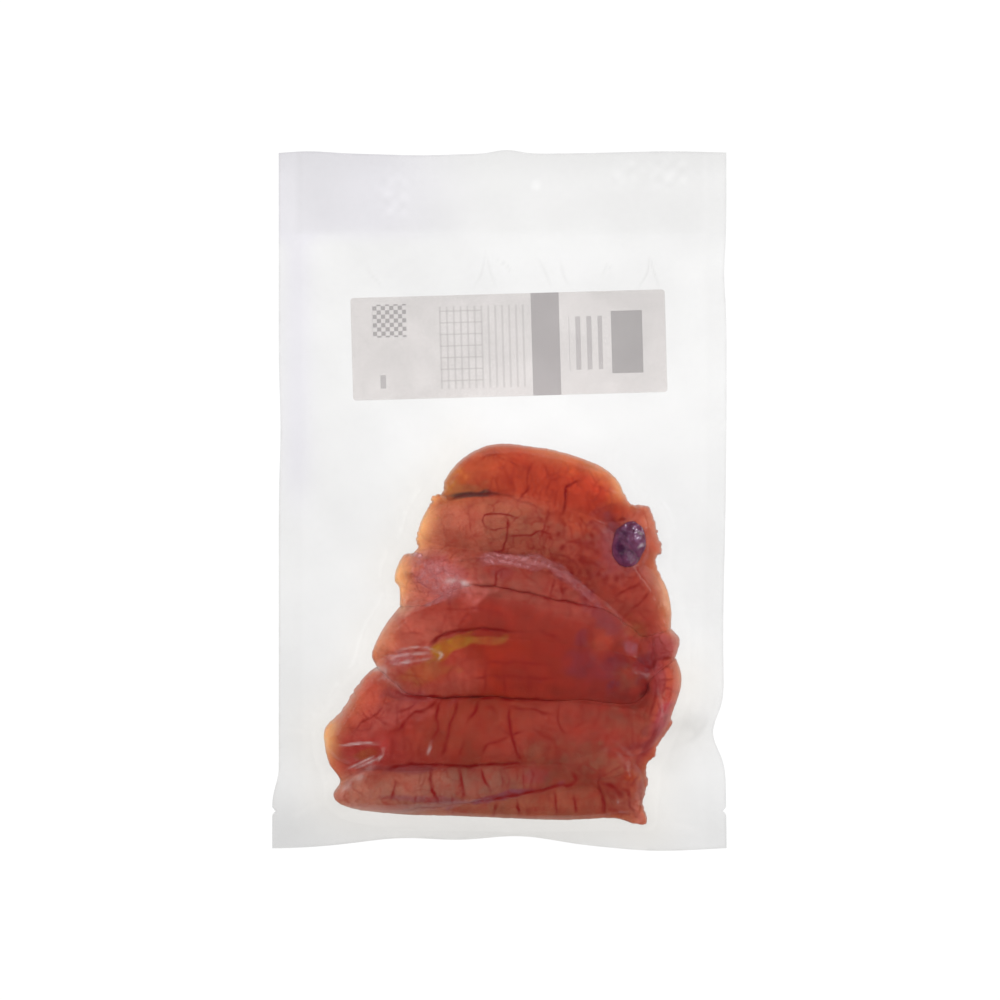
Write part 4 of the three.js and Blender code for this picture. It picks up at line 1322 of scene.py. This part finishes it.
# Steep film would mirror too much of the dark room, so its gloss is held back
gloss_share = add_node(film, "ShaderNodeMath", {1: 0.08}, {0: glance.outputs["Fac"]}, operation="MINIMUM")
film_mix = add_node(film, "ShaderNodeMixShader", {},
                    {0: gloss_share.outputs["Value"], 1: hazy.outputs["Shader"], 2: gloss.outputs["BSDF"]})
add_node(film, "ShaderNodeOutputMaterial", {}, {"Surface": film_mix.outputs["Shader"]})

# %% Build both sheets
ROUNDS_OUTSIDE = 110
INSIDE_GRIP = 0.06  # how far each round may move film that the vacuum holds on the roe
HELD_FROM = 1.5  # mm inside the roe's outline
CLOT_MARGIN = 0.8
HAZE_ON_ROE, HAZE_BESIDE, HAZE_SEALED, HAZE_BELOW = 0.003, 0.035, 0.02, 0.03
PAINTED_FOLD_SHADE = 0.28
SEAL_LINE = 120
LEFT_SEAL = 11
RIGHT_SEAL = 9
CLEAR_FILM = np.array(linear("#FDFDFD")[:3])
SMOKED_AND_SHADED_FILM = np.array(linear("#ECECEC")[:3])
WARM_SHADOW = np.array([0, 0.01, 0.026])  # how much less of each colour passes in the painted warm shadow beside the roe
LILAC = np.array([0.018, 0.024, 0])
WARM_SHADOW_REACH = 15
# Place, reach along x and y, and share
PALE_BLOTCHES = [
    ((-47, 137), (10, 13), 0.1),
    ((56, 146), (8, 9), 0.09),
    ((76, 146), (14, 9), 0.09),
    ((16, 141), (3, 3), 0.16),
]
# Place, reach along x and y, and share of darker film; the first two paint the shadow beside the wave, and
# the last, below zero, makes the film lighter
SHADES = [
    ((83.5, -100.5), (8.5, 7), 0.55),
    ((77, -112), (8, 10), 0.24),
    ((-50, 108), (30, 13), 0.14),
    ((-76, 132), (12, 16), 0.05),
    ((0, -152), (50, 8), 0.16),
    ((-40, 14), (20, 20), -0.12),
]


def oval_distance(xy, at, reach):
    """How far out points lie from a place, with 1 at the oval of that reach."""
    return np.hypot(*((xy - at) / reach).T)


def film_tint(xy, depth):
    """What colour of light each sheet lets through, band by band, with painted shade and light in its broad
    darker and lighter areas.
    """
    x, y = xy.T
    smoke_and_shade = 0.36 + 0.05 * ripples(xy, 45, 91) + 0.03 * ripples(xy, 12, 92)
    band = (0.12 + 0.09 * ramp(-x, 10, 80)) * (1 - 0.6 * ramp(np.abs(x), 90, 92)) + 0.18 * ramp(y, 140, 156)
    smoke_and_shade += band * ramp(y, SEAL_LINE - 1, SEAL_LINE + 1)
    # Broad painted shade and light: darker to the left and towards the foot, lighter below the label and to
    # the right
    smoke_and_shade += 0.1 * ramp(-x, 55, 98) + 0.2 * ramp(-x, 40, 100) * ramp(-y, 0, 100)
    smoke_and_shade += (0.5 - 0.16 * ramp(x, 30, 80)) * ramp(-y, 122, 152) + 0.04 * ramp(x, 60, 98) * ramp(-y, 60, 130)
    smoke_and_shade -= 0.26 * bell(x, 15, 60) * bell(y, 35, 22) + 0.1 * bell(y, 110, 14)
    smoke_and_shade -= 0.13 * ramp(x, 60, 90) * ramp(y, 20, 60) * (1 - ramp(y, 100, 120))
    from_left, from_right = x - left_edge(y), right_edge(y) - x
    sealed = np.maximum(ramp(LEFT_SEAL - from_left, -0.5, 0.5), ramp(RIGHT_SEAL - from_right, -0.5, 0.5))
    border = np.min([from_left, from_right, y - foot_edge(x), head_edge(x) - y], axis=0)
    smoke_and_shade += 0.05 * sealed + 0.24 * bell(border, 0, 0.8) * (1 + 0.4 * ripples(xy, 4, 94))
    for at, reach, share in PALE_BLOTCHES:
        away = oval_distance(xy, at, reach)
        smoke_and_shade -= share * (1 - ramp(away, 0.3, 1.2)) * (0.6 + ripples(xy, 2.6, 93))
    for at, reach, share in SHADES:
        smoke_and_shade += share * hill(xy, at, reach) * (1 + 0.12 * ripples(xy, 5, 95))
    # Painted warm shadow beside the roe, on its left and lower sides
    beside = bell(np.minimum(depth, 0), 0, WARM_SHADOW_REACH) * ramp(np.maximum(-x, -y - 55), 0, 25)
    lilac = ramp(-x, 0, 60) * ramp(y, 112, 124) + bell(x, -91, 7) * ramp(y, -20, 20)
    colour = CLEAR_FILM + (SMOKED_AND_SHADED_FILM - CLEAR_FILM) * np.clip(smoke_and_shade, 0, 1.2)[:, None]
    return colour * (1 - beside[:, None] * WARM_SHADOW) * (1 - np.clip(lilac, 0, 1)[:, None] * LILAC)


def film_sheet(name, points, height, tint, haze):
    """One sheet of film as a mesh, with its tint and haze."""
    vertices = np.column_stack([points.reshape(-1, 2), height.ravel()])
    piece = mesh_object(name, vertices, grid_faces(*height.shape), film)
    store(piece, "tint", np.column_stack([tint, np.ones(len(tint))]))
    store(piece, "haze", haze)
    return piece


def sheet_base(fine, coarse):
    """A sheet's points, how deep they lie in the roe's outline, and the lower film's height there."""
    points = sheet_points(fine, coarse)
    depth = depth_inside(outline, points.reshape(-1, 2))
    return points, depth, lower_height(points, depth.reshape(points.shape[:2]))


points, depth, below = sheet_base(FINE_STEP, COARSE_STEP)
xy = points.reshape(-1, 2)
roe_height = roe_top(xy)
clot_away = oval_distance(xy, CLOT_AT, np.add(CLOT_REACH, CLOT_MARGIN))
on_clot = clot_level + 0.6 + CLOT_RISE * 1.1 * np.sqrt(np.clip(1 - clot_away**2, 0, 1))
roe_height = np.maximum(roe_height, np.where(clot_away < 1, on_clot, 0)).reshape(below.shape)
over = np.maximum(roe_height + FILM_GAP * (roe_height > 0), below + SHEET_GAP)
grip = np.where(depth.reshape(over.shape) > HELD_FROM, INSIDE_GRIP, 1)[1:-1, 1:-1]
height = relax(over, over, ROUNDS_OUTSIDE, grip)
ridges, fold_whitening_and_highlight, painted_fold_shade = fold_height(xy)
height += ridges.reshape(height.shape)
sealed_mouth = ramp(xy[:, 1], SEAL_LINE - 1, SEAL_LINE + 1)
haze_top = HAZE_ON_ROE + HAZE_BESIDE * ramp(-depth, -1, 4) + HAZE_SEALED * sealed_mouth + fold_whitening_and_highlight
tint = film_tint(xy, depth) * (1 - PAINTED_FOLD_SHADE * painted_fold_shade[:, None])
upper_film = film_sheet("film_upper", points, height, tint, haze_top)

points, depth, below = sheet_base(2.0, 2.5)
xy = points.reshape(-1, 2)
lower_film = film_sheet("film_lower", points, below, film_tint(xy, depth), np.full(len(xy), HAZE_BELOW))
for sheet in (upper_film, lower_film):
    print(sheet.name, "has", len(sheet.data.polygons), "quads")

# %% [markdown]
# ## The label
# A strip of thermal paper is stuck to the far side of the pouch, so its print shows mirrored and faint.
# The print here is generic: one broad bar, a block of squares, and short bars in place of words. The CAD
# slab has the right shape already and stays; only its material is new. All places are taken from the
# slab's own middle.

# %% Thermal paper, the material
LABEL_MIDDLE = (4, 69.5)
LABEL_TURN = 1.6
PRINT = 0.8  # how strong all print is, seen through the film

paper = new_material("thermal_paper_label")
place = add_node(paper, "ShaderNodeTexCoord").outputs["Object"]
local = add_node(paper, "ShaderNodeMapping",
                 {"Location": (LABEL_MIDDLE[0] * MM, LABEL_MIDDLE[1] * MM, 0),
                  "Rotation": (0, 0, math.radians(LABEL_TURN))}, {"Vector": place}, vector_type="TEXTURE")
axes = add_node(paper, "ShaderNodeSeparateXYZ", {}, {"Vector": local.outputs["Vector"]})


def printed_block(low_x, high_x, low_y, high_y):
    """1 inside a rectangle on the label, given in mm from its middle, and 0 outside."""
    inside = None
    for axis, low, high in (("X", low_x, high_x), ("Y", low_y, high_y)):
        near = add_node(paper, "ShaderNodeMath", {1: (low + high) / 2 * MM, 2: (high - low) / 2 * MM},
                        {0: axes.outputs[axis]}, operation="COMPARE")
        if inside is None:
            inside = near
        else:
            inside = add_node(paper, "ShaderNodeMath", {}, {0: inside.outputs[0], 1: near.outputs[0]},
                              operation="MULTIPLY")
    return inside.outputs[0]


def within(share, pattern):
    """A pattern that shows only inside a printed block."""
    return add_node(paper, "ShaderNodeMath", {}, {0: share, 1: pattern}, operation="MULTIPLY").outputs[0]


def stripes(axis, spacing, share):
    """Lines across one axis of the label, `spacing` mm apart, that cover a share of the paper."""
    wave = add_node(paper, "ShaderNodeMath", {1: spacing * MM}, {0: axes.outputs[axis]},
                    operation="FLOORED_MODULO")
    return add_node(paper, "ShaderNodeMath", {1: share * spacing * MM}, {0: wave.outputs[0]},
                    operation="LESS_THAN").outputs[0]


squares = add_node(paper, "ShaderNodeTexChecker", {"Scale": 1 / (1.9 * MM)},
                   {"Vector": local.outputs["Vector"]})
fibres = add_node(paper, "ShaderNodeTexNoise", {"Scale": 1 / (1.2 * MM), "Detail": 4}, {"Vector": place})
creases = add_node(paper, "ShaderNodeTexNoise", {"Scale": 1 / (26 * MM), "Detail": 3, "Distortion": 1.5},
                   {"Vector": place})
tones = []
# The larger noise paints faint shade in soft creases of the paper; the fine one is its fibres
for source, half, darkest in ((fibres, 0.2, 0.96), (creases, 0.15, 0.95)):
    shade = add_node(paper, "ShaderNodeMapRange",
                     {"From Min": 0.5 - half, "From Max": 0.5 + half, "To Min": darkest, "To Max": 1.03},
                     {"Value": source.outputs["Fac"]})
    tones.append(shade.outputs[0])
tone = add_node(paper, "ShaderNodeMath", {}, {0: tones[0], 1: tones[1]}, operation="MULTIPLY")
sheet_white = add_node(paper, "ShaderNodeVectorMath", {0: linear("#CDC9C8")[:3]}, {1: tone.outputs[0]},
                       operation="MULTIPLY")
colour = sheet_white.outputs["Vector"]
prints = [
    (printed_block(10.3, 22.9, -30, 30), "#948F90", 1.0),
    (within(printed_block(-60.9, -45.7, 4.9, 19.7), squares.outputs["Fac"]), "#787475", 0.8),
    (within(printed_block(-31, 9, -19, 18), stripes("X", 3.1, 0.3)), "#A5A09F", 0.5),
    (within(printed_block(-31, -12, -19, 18), stripes("Y", 5.2, 0.12)), "#A09B9A", 0.5),
    (printed_block(46, 60, -14, 14), "#898586", 0.9),
    (within(printed_block(27, 42, -12, 12), stripes("X", 5.0, 0.45)), "#979293", 0.7),
    (printed_block(-58, -55.5, -18, -12), "#8B8788", 0.7),
]
for mask, ink, share in prints:
    faded = add_node(paper, "ShaderNodeMath", {1: share * PRINT}, {0: mask}, operation="MULTIPLY")
    layer = add_node(paper, "ShaderNodeMix", {7: linear(ink)}, {0: faded.outputs[0], 6: colour},
                     data_type="RGBA")
    colour = layer.outputs[2]
grain = add_node(paper, "ShaderNodeBump", {"Strength": 0.15, "Distance": 0.1 * MM},
                 {"Height": fibres.outputs["Fac"]})
matt = add_node(paper, "ShaderNodeBsdfPrincipled", {"Roughness": 0.7, "Specular IOR Level": 0.3},
                {"Base Color": colour, "Normal": grain.outputs["Normal"]})
add_node(paper, "ShaderNodeOutputMaterial", {}, {"Surface": matt.outputs["BSDF"]})
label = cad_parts["label"]
for label_slot in label.material_slots:
    label_slot.material = paper
print("label material:", len(paper.node_tree.nodes), "nodes on", len(label.material_slots), "slots")

# %% [markdown]
# ## Floor and light
# The photograph's page is pure white with hardly a shadow: a light table and a big soft box. One wide sun
# gives the even light, a little from the upper right, and is kept out of reflections. Two low soft boxes
# draw thin glints on the folds. The sky is an even white and is kept out of reflections, so that the flat
# film stays clear.

# %% Build the stage
FLOOR_REACH = 4000
FLOOR_LEVEL = -0.2  # a little below the pouch, so that the two never lie in one plane
TABLE_GLOW = 1.02
SKY_STRENGTH = 1.05
SUN_STRENGTH = 1.9
SUN_ANGLE = math.radians(50)  # a wide sun, whose shadows have no edge
BOX_POWER = 3
BOX_LENGTH, BOX_WIDTH = 0.9, 0.35  # metres

light_table = new_material("opal_light_table")
place = add_node(light_table, "ShaderNodeNewGeometry").outputs["Position"]
tooth = add_node(light_table, "ShaderNodeTexNoise", {"Scale": 1 / (3 * MM)}, {"Vector": place})
opal_tone = add_node(light_table, "ShaderNodeMix", {6: linear("#F5F5F5"), 7: linear("#FAFAFA")},
                     {0: tooth.outputs["Fac"]}, data_type="RGBA")
opal = add_node(light_table, "ShaderNodeBsdfPrincipled",
                {"Roughness": 0.9, "Specular IOR Level": 0.0, "Base Color": linear("#404040"),
                 "Emission Strength": TABLE_GLOW}, {"Emission Color": opal_tone.outputs[2]})
add_node(light_table, "ShaderNodeOutputMaterial", {}, {"Surface": opal.outputs["BSDF"]})
floor_mesh = bpy.data.meshes.new("floor")
corners = np.array([(-1, -1, 0), (1, -1, 0), (1, 1, 0), (-1, 1, 0)]) * FLOOR_REACH + (0, 0, FLOOR_LEVEL)
floor_mesh.from_pydata((corners * MM).tolist(), [], [(0, 1, 2, 3)])
floor_mesh.materials.append(light_table)
floor = bpy.data.objects.new("floor", floor_mesh)
bpy.context.scene.collection.objects.link(floor)

world = bpy.data.worlds.new("studio")
world.use_nodes = True
sky = world.node_tree.nodes["Background"]
sky.inputs["Color"].default_value = (1, 1, 1, 1)
sky.inputs["Strength"].default_value = SKY_STRENGTH
world.cycles_visibility.glossy = False
bpy.context.scene.world = world


def aim(piece, place, target=(0, 0, 0)):
    """Puts a light in its place, facing the target; both in metres."""
    piece.location = place
    piece.rotation_euler = (Vector(target) - Vector(place)).to_track_quat("-Z", "Y").to_euler()


sun = bpy.data.objects.new("overhead", bpy.data.lights.new("overhead", "SUN"))
sun.data.energy = SUN_STRENGTH
sun.data.angle = SUN_ANGLE
sun.visible_glossy = False
aim(sun, (0.35, 0.45, 2))
bpy.context.scene.collection.objects.link(sun)
for name, place in (("soft_box_left", (-1.7, 0.4, 0.5)), ("soft_box_right", (1.6, 0.8, 0.5))):
    box = bpy.data.objects.new(name, bpy.data.lights.new(name, "AREA"))
    box.data.shape = "RECTANGLE"
    box.data.size = BOX_LENGTH
    box.data.size_y = BOX_WIDTH
    box.data.energy = BOX_POWER
    aim(box, place, (0, -0.06, 0))
    bpy.context.scene.collection.objects.link(box)
